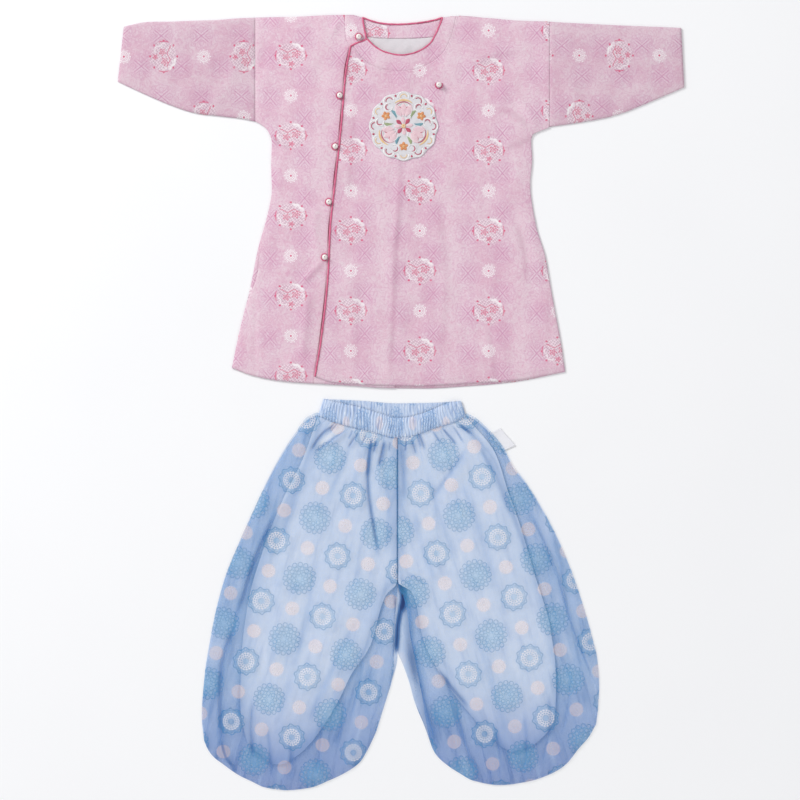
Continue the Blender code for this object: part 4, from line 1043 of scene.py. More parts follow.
def build_band(blue):
    """Elastic waistband: one flattened ring, gathered all round."""
    ahead = np.linspace(0, 1, 561)
    back = np.linspace(1, 0, 281)[1:-1]
    top, seam = (np.hstack([band_line(front, ahead), band_line(rear, back)])
                 for front, rear in ((BAND_FRONT_TOP, BAND_BACK_TOP),
                                     (BAND_FRONT_SEAM, BAND_BACK_SEAM)))
    along = np.concatenate([ahead, back])
    front = np.arange(len(along)) < len(ahead)
    end_gap = np.minimum(along, 1 - along)
    ends = end_gap == 0
    bulge = np.clip(1 - np.abs(2 * along - 1) ** BAND_EDGE_POWER, 0, 1) ** 0.5
    inward = np.sign(0.5 - along) * np.clip(1 - end_gap / BAND_END_SHARE, 0, 1) * BAND_WALL
    outer, inner, marks = [], [], []
    for row in np.linspace(0, 1, 20):
        x, down = top * (1 - row) + seam * row
        lean = along + 0.006 * math.sin(5 * row) * np.sin(23 * along)
        uneven = 0.75 + 0.35 * np.sin(31 * along + 4 * row) * np.sin(57 * along + 2.0)
        fine = gather(lean, BAND_GATHERS, 2.0 + 0.5 * row) * uneven
        swell = BAND_SWELL * math.sin(math.pi * row)
        roll = 1 - 0.55 * math.exp(-row * 12) - 0.5 * math.exp(-(1 - row) * 12)
        down = down + 0.9 * fine * ((row > 0.93) * 1.0 - (row < 0.07) * 0.8) * front
        rise = BAND_RISE + swell - BAND_WALL + BAND_WAVE * fine * bulge
        high = 1.5 * BAND_WALL + rise * bulge * roll
        roof = np.maximum(high - 0.7 * BAND_WALL, BAND_WALL + HOLLOW_EDGE_LOW)
        high[ends] = BAND_WALL + HOLLOW_EDGE_LOW
        roof[ends] = BAND_WALL
        back_z = np.clip(0.85 * BAND_WALL + 0.45 * fine, 0.5, 1.35 * BAND_WALL)
        outer.append(np.column_stack([x, down, np.where(front, high, 0.1)]))
        inner.append(np.column_stack([x + inward, down, np.where(front, roof, back_z)]))
        # Mark of painted shade in the gathers' troughs
        marks.append(np.clip(0.5 - 0.6 * fine, 0, 1))
    verts, faces = tube_mesh(outer, inner, TROUSER_Y)
    obj = add_piece("waistband_cloth", verts, faces, [blue], ["waistband"],
                    {"layers": marks * 2})


def build_tag(satin_white):
    across, length = np.linspace(0, 1, 22), np.linspace(0, 1, 30)[:, None]
    a, b, c, d = np.array(TAG, float)
    x, down = (a[k] * (1 - across) * (1 - length) + b[k] * across * (1 - length)
               + c[k] * across * length + d[k] * (1 - across) * length for k in (0, 1))
    low = 0.15 + 0.9 * length ** 2 * (0.6 + 0.4 * across) + 0.12 * np.sin(9 * length + 2 * across)
    hem = 0.25 * sum(np.exp(-((across - side) / 0.03) ** 2) for side in (0.05, 0.95))
    lay_panel("tag", x, down, low, low + 0.45 + hem, satin_white,
              origin_y=TROUSER_Y, name="tag_label")


def stitch_row(centres, length, gap, radius):
    """Row of short threads lying along a 3-D line, each as a slim double cone."""
    run = run_of(centres)
    verts, faces = [], []
    for start in np.arange(gap, run[-1] - length, length + gap):
        first, middle, last = (np.array([np.interp(at, run, side) for side in centres.T])
                               for at in (start, start + length / 2, start + length))
        side = np.cross((last - first) / np.linalg.norm(last - first), (0, 0, 1.0))
        base = len(verts)
        verts += [first, last]
        verts += [middle + radius * (side * math.cos(t) + np.array([0, 0, math.sin(t)]))
                  for t in (0.0, 1.2, 1.94, math.pi)]
        for k in range(4):
            near, far = base + 2 + k, base + 2 + (k + 1) % 4
            faces += [(base, near, far), (base + 1, far, near)]
    return verts, faces


def build_stitching(thread_pink, thread_blue, thread_white):
    """Rows of sewing beside the collar's seam, the hems, the band's seam and the label's edge."""
    hem_path = (trace(OUTER_HEM, True, 90) - (0, 9))[2:-2]
    x, down = band_line(BAND_FRONT_SEAM, np.linspace(0.02, 0.98, 200))
    band_top = 1.5 * BAND_WALL + (BAND_RISE - BAND_WALL) * 0.62 + 0.9
    label = np.linspace(np.array(TAG[0]) + (3.0, 1.2), np.array(TAG[1]) + (0.6, 2.6), 12)
    for name, line, sizes, thread, slot in (
            ("collar", above(shifted(smooth_path(COLLAR_SEAM, 90), -2.2), outer_low, 1.15),
             COTTON_STITCH, thread_pink, "pink_cloth"),
            ("hem", above(hem_path, outer_low, 1.0), COTTON_STITCH, thread_pink, "pink_cloth"),
            ("band", sheet_points(x, down - 2.4, np.full(200, band_top), TROUSER_Y),
             BAND_STITCH, thread_blue, "band_blue"),
            ("label", sheet_points(*label.T, np.full(12, 0.75), TROUSER_Y),
             LABEL_STITCH, thread_white, "tag")):
        verts, faces = stitch_row(line, *sizes)
        add_piece(f"stitches_{name}", verts, faces, [thread], [])


# Driving sizes of the two prints, in millimetres
ROUNDEL_COLUMN = 110.0
ROUNDEL_ROW = 64.0
SLEEVE_ROW = 97.0
LEG_PRINT_COLUMN = 50.5
LEG_PRINT_REPEAT = 99.5

# Where a round of the print lies on each piece, and which way a sleeve's or a leg's print runs
OUTER_PRINT = (-80.0, 402.4)
UNDER_PRINT = (-176.0, 298.4)
BACK_PRINT = (-40.0, 300.0)
FACING_PRINT = (-44.0, 590.0)
SLEEVE_PRINTS = {"right": ((-379, 552.8), -1), "left": ((348.8, 554.4), 1)}
LEG_PRINTS = {"right": ((-161.9, -280.8), (-0.245, -0.97)),
              "left": ((118.5, -276.2), (0.2558, -0.9667))}
BACK_STRENGTH = 0.15


def rgb(red, green, blue):
    """Linear colour of a screen colour given in 0 to 255."""
    parts = [c / 255 for c in (red, green, blue)]
    return tuple(c / 12.92 if c <= 0.04045 else ((c + 0.055) / 1.055) ** 2.4 for c in parts)


class Field:
    """A number that varies over a surface: arithmetic on it adds the nodes that work it out."""

    def __init__(self, tree, socket):
        self.tree, self.socket = tree, socket

    def math(self, operation, *others):
        node = self.tree.nodes.new("ShaderNodeMath")
        node.operation = operation
        for slot, value in zip(node.inputs, (self, *others)):
            if isinstance(value, Field):
                self.tree.links.new(value.socket, slot)
            else:
                slot.default_value = value
        return Field(self.tree, node.outputs[0])

    __add__ = partialmethod(math, "ADD")
    __sub__ = partialmethod(math, "SUBTRACT")
    __mul__ = partialmethod(math, "MULTIPLY")
    __truediv__ = partialmethod(math, "DIVIDE")
    __abs__ = partialmethod(math, "ABSOLUTE")
    less = partialmethod(math, "MINIMUM")
    more = partialmethod(math, "MAXIMUM")
    sin = partialmethod(math, "SINE")
    cos = partialmethod(math, "COSINE")

    def wrap(self, period):
        """What is left of it past the nearest multiple of the period."""
        return self - (self / period).math("ROUND") * period

    def step(self, low, high):
        """Soft step from none at low to one at high; the other way round if high is less."""
        node = self.tree.nodes.new("ShaderNodeMapRange")
        node.interpolation_type = "SMOOTHSTEP"
        self.tree.links.new(self.socket, node.inputs["Value"])
        ends = (low, high, 0.0, 1.0) if low < high else (high, low, 1.0, 0.0)
        for slot, value in zip(("From Min", "From Max", "To Min", "To Max"), ends):
            node.inputs[slot].default_value = value
        return Field(self.tree, node.outputs[0])

    def line(self, place, wide=1.0, core=0.3):
        """One where it is near the place, fading out from the core to the whole width."""
        return abs(self - place).step(wide, core)


def hypot(a, b):
    return (a * a + b * b).math("SQRT")


def any_of(masks):
    total = masks[0]
    for mask in masks[1:]:
        total = total.more(mask)
    return total


class Motif:
    """Distance and turn from the middle of a printed motif, and the marks drawn from them."""

    def __init__(self, across, up):
        self.r = hypot(across, up)
        self.turn = up.math("ARCTAN2", across)

    def waves(self, count):
        return (self.turn * count).cos()

    def ring(self, count, depth, radius, wide=1.0, core=0.3):
        """Ring about the middle, with so many waves of a depth."""
        return (self.r - self.waves(count) * depth).line(radius, wide, core)

    def beads(self, radius, count, lean=0.0):
        """Distance from the nearest of so many places, evenly spaced on a circle."""
        turn = (self.turn + lean).wrap(math.tau / count)
        return hypot(self.r * turn.cos() - radius, self.r * turn.sin())

    def holes(self, radius, count, size, core):
        """Spots evenly spaced on a circle."""
        arc = self.turn.wrap(math.tau / count) * radius
        return hypot(self.r - radius, arc).step(size, core)


class Cloth:
    """One material's node tree, with the fields and layers that the finishes are made of."""

    def __init__(self, name, roughness, specular, sheen=0.0, sheen_roughness=0.5, **sockets):
        self.material = bpy.data.materials.new(name)
        self.material.use_nodes = True
        self.tree = self.material.node_tree
        self.shader = self.tree.nodes["Principled BSDF"]
        sockets.update(Roughness=roughness, Specular_IOR_Level=specular, Sheen_Weight=sheen,
                       Sheen_Roughness=sheen_roughness)
        for key, value in sockets.items():
            self.shader.inputs[key.replace("_", " ")].default_value = value
        self.place = self.node("TexCoord").outputs["Object"]
        split = self.node("SeparateXYZ", Vector=self.place)
        self.x, self.y, self.z = (Field(self.tree, s) * (1 / METRE) for s in split.outputs)

    def node(self, kind, **values):
        """New node whose inputs are linked to the fields and sockets given, or set to numbers."""
        node = self.tree.nodes.new(f"ShaderNode{kind}")
        for key, value in values.items():
            value = getattr(value, "socket", value)
            if isinstance(value, bpy.types.NodeSocket):
                self.tree.links.new(value, node.inputs[key])
            else:
                node.inputs[key].default_value = value
        return node

    def noise(self, size, detail=3.0, roughness=0.55, stretch=None):
        """Uneven field from 0 to 1 whose blots are about size millimetres wide."""
        place = self.place
        if stretch is not None:
            place = self.node("Mapping", Scale=stretch, Vector=place).outputs[0]
        node = self.node("TexNoise", Scale=1 / (size * METRE), Detail=detail,
                         Roughness=roughness, Vector=place)
        return Field(self.tree, node.outputs["Fac"])

    def streaks(self, across, along, wide, reach):
        """Uneven field from 0 to 1 drawn out along the cloth's hang."""
        place = self.node("CombineXYZ", X=across / wide, Y=along / reach).outputs[0]
        node = self.node("TexNoise", Scale=1.0, Detail=2.0, Vector=place)
        return Field(self.tree, node.outputs["Fac"])

    def mark(self, name):
        node = self.node("Attribute")
        node.attribute_name = name
        return Field(self.tree, node.outputs["Fac"])

    def mix(self, under, over, share):
        """Colour or socket under, painted over by another as far as the share says."""
        node = self.tree.nodes.new("ShaderNodeMix")
        node.data_type = "RGBA"
        self.tree.links.new(share.socket, node.inputs[0])
        for slot, value in ((node.inputs[6], under), (node.inputs[7], over)):
            if isinstance(value, tuple):
                slot.default_value = (*value, 1)
            else:
                self.tree.links.new(value, slot)
        return node.outputs[2]

    def paint(self, base, *layers, tone=1.0):
        """Colour of a base painted over by each layer in turn, all of it darkened by the tone."""
        base = tuple(tone * c for c in base)
        for colour, share in layers:
            base = self.mix(base, tuple(tone * c for c in colour), share)
        self.tree.links.new(base, self.shader.inputs["Base Color"])

    def relief(self, height, depth):
        """Relief of so many millimetres, from a field between none and one; gives the material."""
        bump = self.node("Bump", Distance=depth * METRE, Strength=1.0, Height=height)
        self.tree.links.new(bump.outputs[0], self.shader.inputs["Normal"])
        return self.material

    def weave(self, pitch):
        """Over-and-under of a plain weave with its threads a pitch apart."""
        wave = math.tau / (2 * pitch)
        return ((self.x * wave).sin() * (self.y * wave).sin()) * 0.5 + 0.5


def roundel_masks(du, dv):
    """Round cluster of flowers, dots and arcs: its rose, white, grey and ground."""
    flat = dv * 1.16
    motif = Motif(du, flat)
    r, turn = motif.r, motif.turn
    garland = (flat - (du * 0.3).sin() * 2.6).line(9.0, 1.6, 0.5) * abs(du).step(19, 16)
    rose = [motif.beads(25.0, 8).step(2.5, 1.4),
            r.line(24.5, 1.5, 0.1) * abs(turn.cos()).step(0.9, 0.97), garland * 0.7]
    for across, up, size in ((-7.0, -2.5, 5.6), (8.0, 2.0, 6.2), (1.0, -15.5, 4.2)):
        floret = Motif(du - across, flat - up)
        reach = floret.r - floret.waves(5) * (0.28 * size)
        rose += [reach.line(0.72 * size, 1.7, 0.1), reach.step(1.7, 0.8)]
    disc = (r - (turn * 5 + 0.7).cos() * 1.8).step(29, 20)
    petals = motif.ring(8, 1.6, 19.5, 1.7, 0.1) * (turn * 2 - 1.1).cos().step(-0.1, 0.4)
    crescent = motif.ring(12, 0.8, 22.0, 3.1, 1.1) * (turn - 0.95).cos().step(0.8, 0.94)
    net = (du * 1.15 + (dv * 0.5).sin()).sin() * (dv * 1.2 + (du * 0.6).sin()).sin()
    white = [petals * 0.9, crescent, net.step(0.35, 0.7) * disc * 0.75]
    return rose, white, net.step(-0.35, -0.7) * disc, disc


def rosette_masks(du, dv):
    """Small rosette of dashed rays, and its heart."""
    motif = Motif(du, dv)
    rays, between = ((motif.r * abs((motif.turn + lean).wrap(math.tau / 12).sin())).step(1.2, 0.5)
                     for lean in (0.0, math.tau / 24))
    dashes = (motif.r * 2.4).cos().step(-0.9, -0.4) * motif.r.step(1.6, 2.4)
    rays = (rays * motif.r.step(12.4, 11.4)).more(
        between * motif.r.step(5.6, 6.6) * motif.r.step(10.6, 9.6))
    return dashes * rays, motif.r.step(2.1, 1.1)


def pink_masks(u, v, row):
    """Print of the top: half-drop roundels and rosettes over a tone-on-tone lattice."""
    column = (u / row).math("ROUND")
    du, drop = u - column * row, v + column * ROUNDEL_ROW
    rose, white, grey, disc = roundel_masks(du, drop.wrap(2 * ROUNDEL_ROW))
    rosette, heart = rosette_masks(du, (drop + ROUNDEL_ROW).wrap(2 * ROUNDEL_ROW))
    half = row / 2
    lattice = ((u + 33) / half).math("ROUND")
    a = abs(u + 33 - lattice * half)
    b = v + 4 + lattice * (ROUNDEL_ROW / 2)
    b_cross, b_ring = abs(b.wrap(ROUNDEL_ROW)), abs((b + ROUNDEL_ROW / 2).wrap(ROUNDEL_ROW))
    slant = abs(a - b_cross * 0.85)
    reach = hypot(a, b_cross)
    cross = slant.step(1.3, 0.5).more(slant.line(5.2, 1.1, 0.4) * 0.7) * reach.step(17.0, 13.0)
    loops = any_of([hypot(a - right, b_cross - up).line(size) for right, up, size in
                    ((0, 13.5, 4.6), (11.5, 0, 3.4), (13.6, 12.4, 3.2), (0, 13.5, 1.6))])
    edging = hypot(a, b_cross * 1.1) - (b_cross.math("ARCTAN2", a) * 12).cos() * 0.8
    round_ = Motif(a, b_ring)
    lace = abs((round_.r - round_.waves(8) * 1.1).wrap(5.6)).step(1.2, 0.4)
    lace = lace * round_.r.step(18, 13) * round_.r.step(1.0, 2.5)
    return {
        "mauve": any_of([cross, edging.line(19.5, 1.2, 0.4) * 0.3, lace * 0.4, loops * 0.42]),
        "lace": lace, "disc": disc, "tint": reach.step(30.0, 6.0), "grey": grey,
        "bands": (u * (math.tau / row)).cos() * 0.5 + 0.5,
        "rose": any_of([*rose, heart]), "white": any_of([rosette, *white]),
    }


def pink_cloth(name, middle, turned=0, tone=1.0):
    """Printed cotton of the top. turned is the way the cloth's own up points along x, if any; a
    tone below one darkens the whole print as painted shade.
    """
    cloth = Cloth(name, 0.82, 0.25, 0.25, 0.45)
    x, y = cloth.x - middle[0], cloth.y - middle[1]
    masks = (pink_masks(y * turned, x * -turned, SLEEVE_ROW) if turned else
             pink_masks(x, y, ROUNDEL_COLUMN))
    blots = cloth.noise(60, 4.0, 0.6) - masks["bands"] * 0.12
    curls, scrolls = (abs((cloth.noise(size, 1.0) * turns).wrap(1.0)).step(0.2, 0.05)
                      for size, turns in ((19, 9.0), (13, 7.0)))
    mottle, fleck = cloth.noise(7, 4.0, 0.65), cloth.noise(1.9, 2.0, 0.6)
    worn = cloth.noise(4, 2.0).step(0.25, 0.55) * 0.5 + 0.5
    cloth.paint(
        PINK_DEEP, (PINK_PALE, blots.step(0.28, 0.58) * 0.8),
        (PINK_GREY, mottle.step(0.5, 0.75) * 0.6), (PINK_ROSY, mottle.step(0.46, 0.25) * 0.6),
        (PINK_LIGHT, masks["lace"] * 0.3),
        (PINK_LILAC, masks["tint"] * mottle.step(0.3, 0.6) * 0.17),
        (MAUVE, curls * 0.3), (PINK_LIGHT, scrolls * 0.36),
        (MAUVE, masks["mauve"] * worn), (PINK_LIGHT, masks["disc"] * 0.2),
        (PRINT_GREY, masks["grey"] * worn * 0.6), (PRINT_WHITE, masks["white"] * worn * 0.96),
        (PRINT_ROSE, masks["rose"] * worn * 0.85), (PINK_LIGHT, fleck.step(0.55, 0.8) * 0.3),
        (PINK_ROSY, fleck.step(0.45, 0.2) * 0.4),
        # The last two layers are painted shade: in the fronts' creases, and as the shadow under the
        # closing edge where it lifts between its buttons
        (PINK_SHADE, cloth.mark("layers").less(1.0) * 0.5),
        (PIPE_GAP_SHADOW, cloth.mark("past").line(GAP_SHADOW_PLACE, 1.7, 0.1) * cloth.mark("gap")), tone=tone)
    return cloth.relief(cloth.weave(0.55) * 0.4 + fleck * 0.6, 0.22)


def lace_round(motif):
    """Lines of the larger round of the trousers: three circles of loops, and waved rings."""
    loops = [motif.beads(radius, count, lean).line(size, 1.05) for radius, count, size, lean in
             ((22.3, 16, 3.4, 0.2), (15.6, 12, 3.1, 0.0), (9.0, 7, 2.9, 0.3))]
    return any_of([*loops, motif.ring(16, 0.7, 18.9) * 0.7, motif.ring(8, 0.7, 12.2, 0.9) * 0.6,
                   motif.ring(6, 0.9, 4.0, 0.9) * 0.8])


def star_round(motif):
    """The pointed round: its blue lines, its pierced white ring, and its blue dots."""
    r, star = motif.r, motif.waves(10)
    point = hypot(r - star - 18.6, motif.turn.wrap(math.tau / 20) * 18.6)
    lines = any_of([motif.ring(10, 1.5, 20.0, 1.5, 0.5) * 0.95, point.line(2.0, 0.9) * 0.7,
                    motif.ring(10, 1.0, 16.4, 1.1, 0.4) * motif.waves(60).step(-0.8, 0.0) * 0.7,
                    motif.ring(10, -1.0, 14.6, 0.9) * 0.45])
    holes = motif.holes(7.4, 12, 1.7, 0.68).more(motif.holes(11.0, 18, 1.7, 0.68))
    lace = any_of([motif.ring(16, 0.8, 12.4, 1.2, 0.4), motif.ring(20, -0.7, 9.9, 1.5, 0.6),
                   motif.ring(8, 0.6, 6.9, 1.2, 0.4), motif.holes(12.6, 16, 1.9, 1.2),
                   r.line(9.2, 4.9, 3.1) * 0.85])
    speck = ((motif.turn * 18).sin() * (r * 1.75).sin()).step(-0.4, 0.3) * 0.4 + 0.6
    dots = holes * 0.75 + motif.ring(8, 0.5, 5.0, 0.9) * 0.6
    return lines, lace * speck * (holes * -0.9 + 1.0), dots


def leg_masks(along, across):
    """Print of the trousers, in columns down the leg: two kinds of medallion, and dots."""
    column = (across / LEG_PRINT_COLUMN).math("ROUND")
    du = across - column * LEG_PRINT_COLUMN
    odd = abs(column.math("MODULO", 2.0)).step(0.4, 0.6)
    even = odd * -1.0 + 1.0
    drop = along + column * (LEG_PRINT_REPEAT / 2)
    motif = Motif(du, drop.wrap(LEG_PRINT_REPEAT))
    r = motif.r
    star_lines, star_white, star_dots = star_round(motif)
    small = Motif(du, (drop + LEG_PRINT_REPEAT / 2).wrap(LEG_PRINT_REPEAT))
    return {
        "line": any_of([lace_round(motif) * even, star_lines * odd, star_dots * odd]),
        "fill": any_of([(r.step(24, 19) * 0.5 + r.step(16, 8) * 0.3) * even,
                        r.step(20.5, 16.0) * odd * 0.35, r.step(5.8, 4.4) * odd * 0.56]),
        "white": star_white * odd,
        "dot": (small.r - small.waves(20) * 0.5).step(12.6, 9.8),
        "dot_line": any_of([small.ring(12, 0.6, 9.4, 1.1, 0.4), small.ring(8, 0.7, 5.4, 1.0, 0.4),
                            small.r.step(2.4, 1.4)]),
    }


def voile(name, middle, slope, strength=1.0):
    """Thin printed cloth of the trousers; the print's columns follow the slope of the leg."""
    cloth = Cloth(name, 0.55, 0.3, 0.15, 0.4)
    sx, sy = (side / math.hypot(*slope) for side in slope)
    x, y = cloth.x - middle[0], cloth.y - middle[1]
    bend = cloth.noise(120, 1.0) * 5.0 - 2.5
    along, across = x * sx + y * sy + bend, x * sy - y * sx + bend
    masks = leg_masks(along, across)
    # Painted shade and painted light in streaks along the cloth's hang, also thickening and
    # thinning the cloth's cover
    streak = cloth.streaks(across, along, 11.0, 90.0)
    painted_streak_shade, painted_streak_light = streak.step(0.5, 0.22), streak.step(0.52, 0.8)
    layers, bottom = cloth.mark("layers"), cloth.mark("bottom")
    slub = cloth.noise(1.1, 2.0, 0.6, stretch=(1.0, 0.12, 1.0))
    # Painted over the print: light and shade in streaks, then the doubled cloth with painted shade
    # in its folds, pleats and between the legs
    cloth.paint(
        VOILE_BLUE, (VOILE_PALE, cloth.noise(60, 2.0).step(0.35, 0.7) * 0.6),
        (VOILE_LAVENDER, bottom * 0.6), (VOILE_PALE, painted_streak_light * 0.7), (VOILE_DEEP, painted_streak_shade * 0.3),
        (VOILE_FILL, masks["fill"] * 0.6 * strength), (VOILE_LINE, masks["line"] * 0.72 * strength),
        (VOILE_WHITE, masks["white"] * strength),
        (VOILE_PINK, masks["dot"] * (bottom * -0.3 + 0.76) * strength),
        (VOILE_ROSE, masks["dot_line"] * 0.6 * strength),
        (VOILE_DEEP, layers.step(0.0, 1.0) * 0.8), (VOILE_NIGHT, layers.step(1.1, 2.2) * 0.85))
    printed = any_of([masks["fill"] * 0.08, masks["line"] * 0.26, masks["white"] * 0.4,
                      masks["dot"] * 0.08]) * strength
    cover = layers * 0.46 + bottom * 0.1 + slub * 0.06 + painted_streak_shade * 0.12 - painted_streak_light * 0.05 + VOILE_COVER
    alpha = (cover + printed).less(0.97)
    cloth.tree.links.new(alpha.socket, cloth.shader.inputs["Alpha"])
    return cloth.relief(slub * 0.6 + cloth.weave(0.4) * 0.4, 0.12)


def band_cloth(name):
    """The same print on the gathered band: squeezed along it, and lined, so it hides all below;
    with painted light on its puckers, painted shade between them and in the gathers' troughs, and
    painted glints on the ridges.
    """
    cloth = Cloth(name, 0.6, 0.3, 0.2, 0.4)
    wander = cloth.noise(7, 2.0) * 6.0
    masks = leg_masks(cloth.y + 30 + wander, cloth.x * 1.9 + 12 + wander)
    layers = cloth.mark("layers")
    pucker_and_shade = cloth.streaks(cloth.x, cloth.y, 3.0, 24.0)
    glint = cloth.streaks(cloth.x + 40, cloth.y, 2.2, 12.0).step(0.55, 0.72)
    # Painted light on the puckers and shade between them, painted shade in the gathers' troughs,
    # and painted glints on the ridges
    cloth.paint(
        BAND_BLUE, (BAND_PALE, pucker_and_shade.step(0.35, 0.65) * 0.8), (BAND_LINE, masks["line"] * 0.6),
        (BAND_LINE, masks["fill"] * 0.25), (VOILE_WHITE, masks["white"] * 0.5),
        (VOILE_PINK, masks["dot"] * 0.5), (BAND_DEEP, layers.step(0.5, 1.0) * 0.45),
        (BAND_DEEP, pucker_and_shade.step(0.48, 0.25) * 0.7),
        (BAND_BRIGHT, glint * layers.step(0.6, 0.3) * 0.8))
    return cloth.relief(pucker_and_shade * 0.8 + cloth.weave(0.4) * 0.2, 0.5)


def white_cloth(name, colour, shade):
    """Plain white cloth, bluer as far as its bottom mark says."""
    cloth = Cloth(name, 0.8, 0.25, 0.15)
    thread = cloth.noise(0.9, 2.0, 0.6, stretch=(0.15, 1.0, 1.0))
    cloth.paint(colour, (shade, cloth.noise(26, 3.0, 0.5).step(0.45, 0.8) * 0.6),
                (shade, thread.step(0.5, 0.9) * 0.3), (LINING_FOOT, cloth.mark("bottom") * 0.9))
    return cloth.relief(thread * 0.4 + cloth.weave(0.45) * 0.6, 0.15)


def satin_thread(name, colour, shade, roughness=0.38):
    """Glossy thread or satin tape, uneven in tone, with painted shade where its strands turn under.
    """
    cloth = Cloth(name, roughness, 0.5, 0.2, Coat_Weight=0.15, Coat_Roughness=0.3)
    strand = ((cloth.x + cloth.y * 0.8 + cloth.noise(3, 1.0) * 2.0) * (math.tau / 0.9)).sin()
    cloth.paint(colour, (shade, cloth.noise(7, 2.0).step(0.42, 0.75) * 0.6),
                (shade, strand.step(0.3, 1.0) * 0.35))
    return cloth.relief(strand * 0.5 + 0.5, 0.12)


def pearl_finish(name):
    cloth = Cloth(name, 0.16, 0.6, Coat_Weight=0.7, Coat_Roughness=0.08)
    cloud = cloth.noise(3.2, 2.0)
    # The drilled mark paints shade into the hole in the pearl's top
    cloth.paint(PEARL_CREAM, (PEARL_ROSE, cloud.step(0.35, 0.7) * 0.6),
                (PEARL_SHADE, (cloud * 9.0).sin().step(0.4, 1.0) * 0.25),
                (PEARL_HOLE_SHADE, cloth.mark("drilled")))
    return cloth.relief(cloud, 0.03)


def floor_finish(name):
    cloth = Cloth(name, 0.9, 0.1)
    cloth.paint(FLOOR_WHITE, (FLOOR_GREY, cloth.noise(400, 2.0).step(0.3, 0.8) * 0.2))
    return cloth.material


# Colours, as seen on screen
PINK_DEEP = rgb(221, 182, 199)
PINK_PALE = rgb(229, 205, 215)
PINK_GREY = rgb(229, 215, 220)
PINK_ROSY = rgb(221, 168, 190)
PINK_LIGHT = rgb(236, 216, 226)
PINK_LILAC = rgb(214, 170, 204)
PINK_SHADE = rgb(172, 112, 142)
MAUVE = rgb(208, 150, 182)
PRINT_WHITE = rgb(246, 240, 242)
PRINT_ROSE = rgb(216, 78, 120)
PRINT_GREY = rgb(166, 164, 166)
VOILE_COVER = 0.215
VOILE_BLUE = rgb(72, 150, 216)
VOILE_PALE = rgb(120, 170, 228)
VOILE_LAVENDER = rgb(94, 122, 198)
VOILE_FILL = rgb(146, 214, 248)
VOILE_LINE = rgb(0, 126, 178)
VOILE_WHITE = rgb(248, 242, 245)
VOILE_PINK = rgb(238, 220, 220)
VOILE_ROSE = rgb(218, 188, 190)
# Doubled cloth, painted shade in folds and streaks, and the deepest of both between the legs
VOILE_DEEP = rgb(50, 98, 160)
VOILE_NIGHT = rgb(22, 40, 98)
BAND_BLUE = rgb(186, 204, 232)
BAND_PALE = rgb(206, 219, 240)
BAND_BRIGHT = rgb(236, 242, 250)
BAND_LINE = rgb(105, 155, 205)
BAND_DEEP = rgb(125, 152, 198)
LINING_WHITE = rgb(246, 247, 250)
LINING_SHADE = rgb(228, 232, 242)
LINING_FOOT = rgb(178, 192, 222)
NECK_LINING = rgb(222, 216, 220)
NECK_SHADE = rgb(206, 202, 206)
PIPE_ROSE = rgb(226, 102, 142)
# Painted shadow under the closing edge's piping
PIPE_GAP_SHADOW = rgb(132, 22, 62)
PIPE_DARK = rgb(176, 58, 98)
PEARL_CREAM = rgb(244, 239, 234)
PEARL_ROSE = rgb(236, 222, 220)
PEARL_SHADE = rgb(205, 200, 205)
PEARL_HOLE_SHADE = rgb(96, 84, 88)
FLOOR_WHITE = rgb(248, 248, 249)
FLOOR_GREY = rgb(240, 240, 242)
MEDALLION_WHITE = rgb(226, 224, 228)
MEDALLION_SHADE = rgb(214, 210, 214)
THREADS = {
    "white": (rgb(246, 244, 244), rgb(226, 222, 226)),
    "rose": (rgb(200, 88, 112), rgb(166, 60, 88)),
    "orange": (rgb(226, 154, 100), rgb(206, 126, 80)),
    "cream": (rgb(240, 206, 158), rgb(226, 180, 128)),
    "teal": (rgb(124, 168, 180), rgb(84, 132, 150)),
    "green": (rgb(164, 176, 134), rgb(126, 144, 104)),
    "pale": (rgb(238, 208, 214), rgb(226, 184, 196)),
}


# Camera and room: the photograph's image is 800 pixels across 1.28 metres, seen from above
CAMERA_HEIGHT = 3.2
CAMERA_PLACE = (-0.0016, 0.004)
CAMERA_LENS = 90.0
FLOOR_HALF = 4.0
FLOOR_DROP = 0.0004
Lamp = namedtuple("Lamp", "name place size energy")
LAMPS = (
    Lamp("key_light", (-3.4, 3.0, 2.9), 2.0, 185.0),
    Lamp("fill_light", (3.4, -0.8, 3.6), 3.4, 40.0),
    Lamp("low_light", (-0.9, -3.6, 3.2), 3.0, 26.0),
)
SKY = 0.52
SKY_TINT = (0.97, 0.98, 1.0, 1)


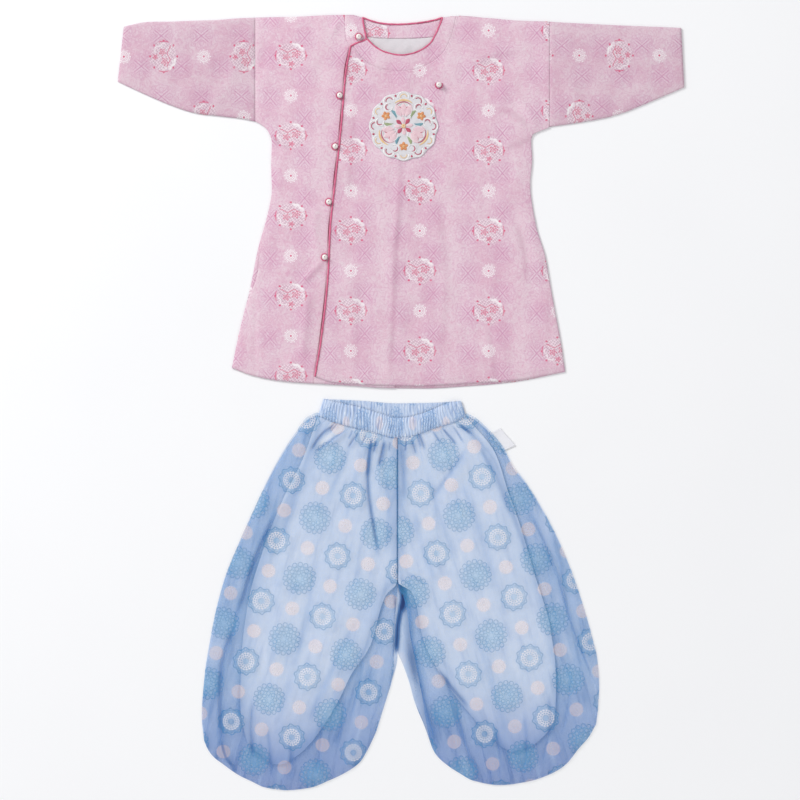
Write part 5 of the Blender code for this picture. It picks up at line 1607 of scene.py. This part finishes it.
def build_stage():
    mesh = bpy.data.meshes.new("floor")
    corners = [(FLOOR_HALF * x, FLOOR_HALF * y, 0) for x, y in
               ((-1, -1), (1, -1), (1, 1), (-1, 1))]
    mesh.from_pydata(corners, [], [(0, 1, 2, 3)])
    mesh.materials.append(floor_finish("pale_floor"))
    floor = link(bpy.data.objects.new("floor", mesh))
    floor.location.z = -FLOOR_DROP
    for lamp in LAMPS:
        light = bpy.data.lights.new(lamp.name, "AREA")
        light.size = lamp.size
        light.energy = lamp.energy
        obj = link(bpy.data.objects.new(lamp.name, light))
        obj.location = lamp.place
        obj.rotation_euler = (-obj.location).to_track_quat("-Z", "Y").to_euler()
    world = bpy.data.worlds.new("studio")
    world.use_nodes = True
    sky = world.node_tree.nodes["Background"]
    sky.inputs["Color"].default_value = SKY_TINT
    sky.inputs["Strength"].default_value = SKY
    bpy.context.scene.world = world
    bpy.context.scene.view_settings.view_transform = "Standard"


def place_camera():
    lens = bpy.data.cameras.new("camera")
    lens.lens = CAMERA_LENS
    lens.sensor_width = 36.0
    camera = link(bpy.data.objects.new("camera", lens))
    camera.location = (*CAMERA_PLACE, CAMERA_HEIGHT)
    bpy.context.scene.camera = camera


def main():
    place_camera()
    build_stage()
    pink_outer = pink_cloth("pink_outer_front", OUTER_PRINT)
    build_top_back(pink_cloth("pink_back", BACK_PRINT))
    build_front_right(pink_cloth("pink_under_front", UNDER_PRINT))
    build_front_left(pink_outer)
    # The sleeves' prints are darkened by their tone, as painted shade
    for side, top, under, tone in (("right", RIGHT_SLEEVE_TOP, RIGHT_SLEEVE_UNDER, 0.9),
                                   ("left", LEFT_SLEEVE_TOP, LEFT_SLEEVE_UNDER, 0.92)):
        build_sleeve(side, top, under,
                     pink_cloth(f"pink_{side}_sleeve", *SLEEVE_PRINTS[side], tone))
    build_collar(pink_outer, pink_cloth("pink_facing", FACING_PRINT),
                 white_cloth("neck_lining", NECK_LINING, NECK_SHADE))
    rose = satin_thread("rose_satin", PIPE_ROSE, PIPE_DARK)
    build_piping(rose)
    build_buttons(pearl_finish("pearl"), rose)
    build_medallion(satin_thread("medallion_ground", MEDALLION_WHITE, MEDALLION_SHADE, 0.6),
                    {key: satin_thread(f"thread_{key}", *pair, roughness=0.5)
                     for key, pair in THREADS.items()})
    lining = white_cloth("leg_lining", LINING_WHITE, LINING_SHADE)
    for side, lie in LEG_PRINTS.items():
        west = side == "right"
        build_leg_front(west, voile(f"voile_front_{side}", *lie))
        build_leg_back(west, voile(f"voile_back_{side}", *lie, BACK_STRENGTH))
        build_leg_lining(west, lining)
    build_band(band_cloth("waistband_voile"))
    build_tag(white_cloth("label_satin", rgb(236, 236, 241), rgb(212, 214, 224)))
    build_stitching(satin_thread("pink_thread", PINK_LIGHT, PINK_DEEP),
                    satin_thread("blue_thread", BAND_BRIGHT, BAND_BLUE),
                    satin_thread("white_thread", PRINT_WHITE, LINING_SHADE))


main()
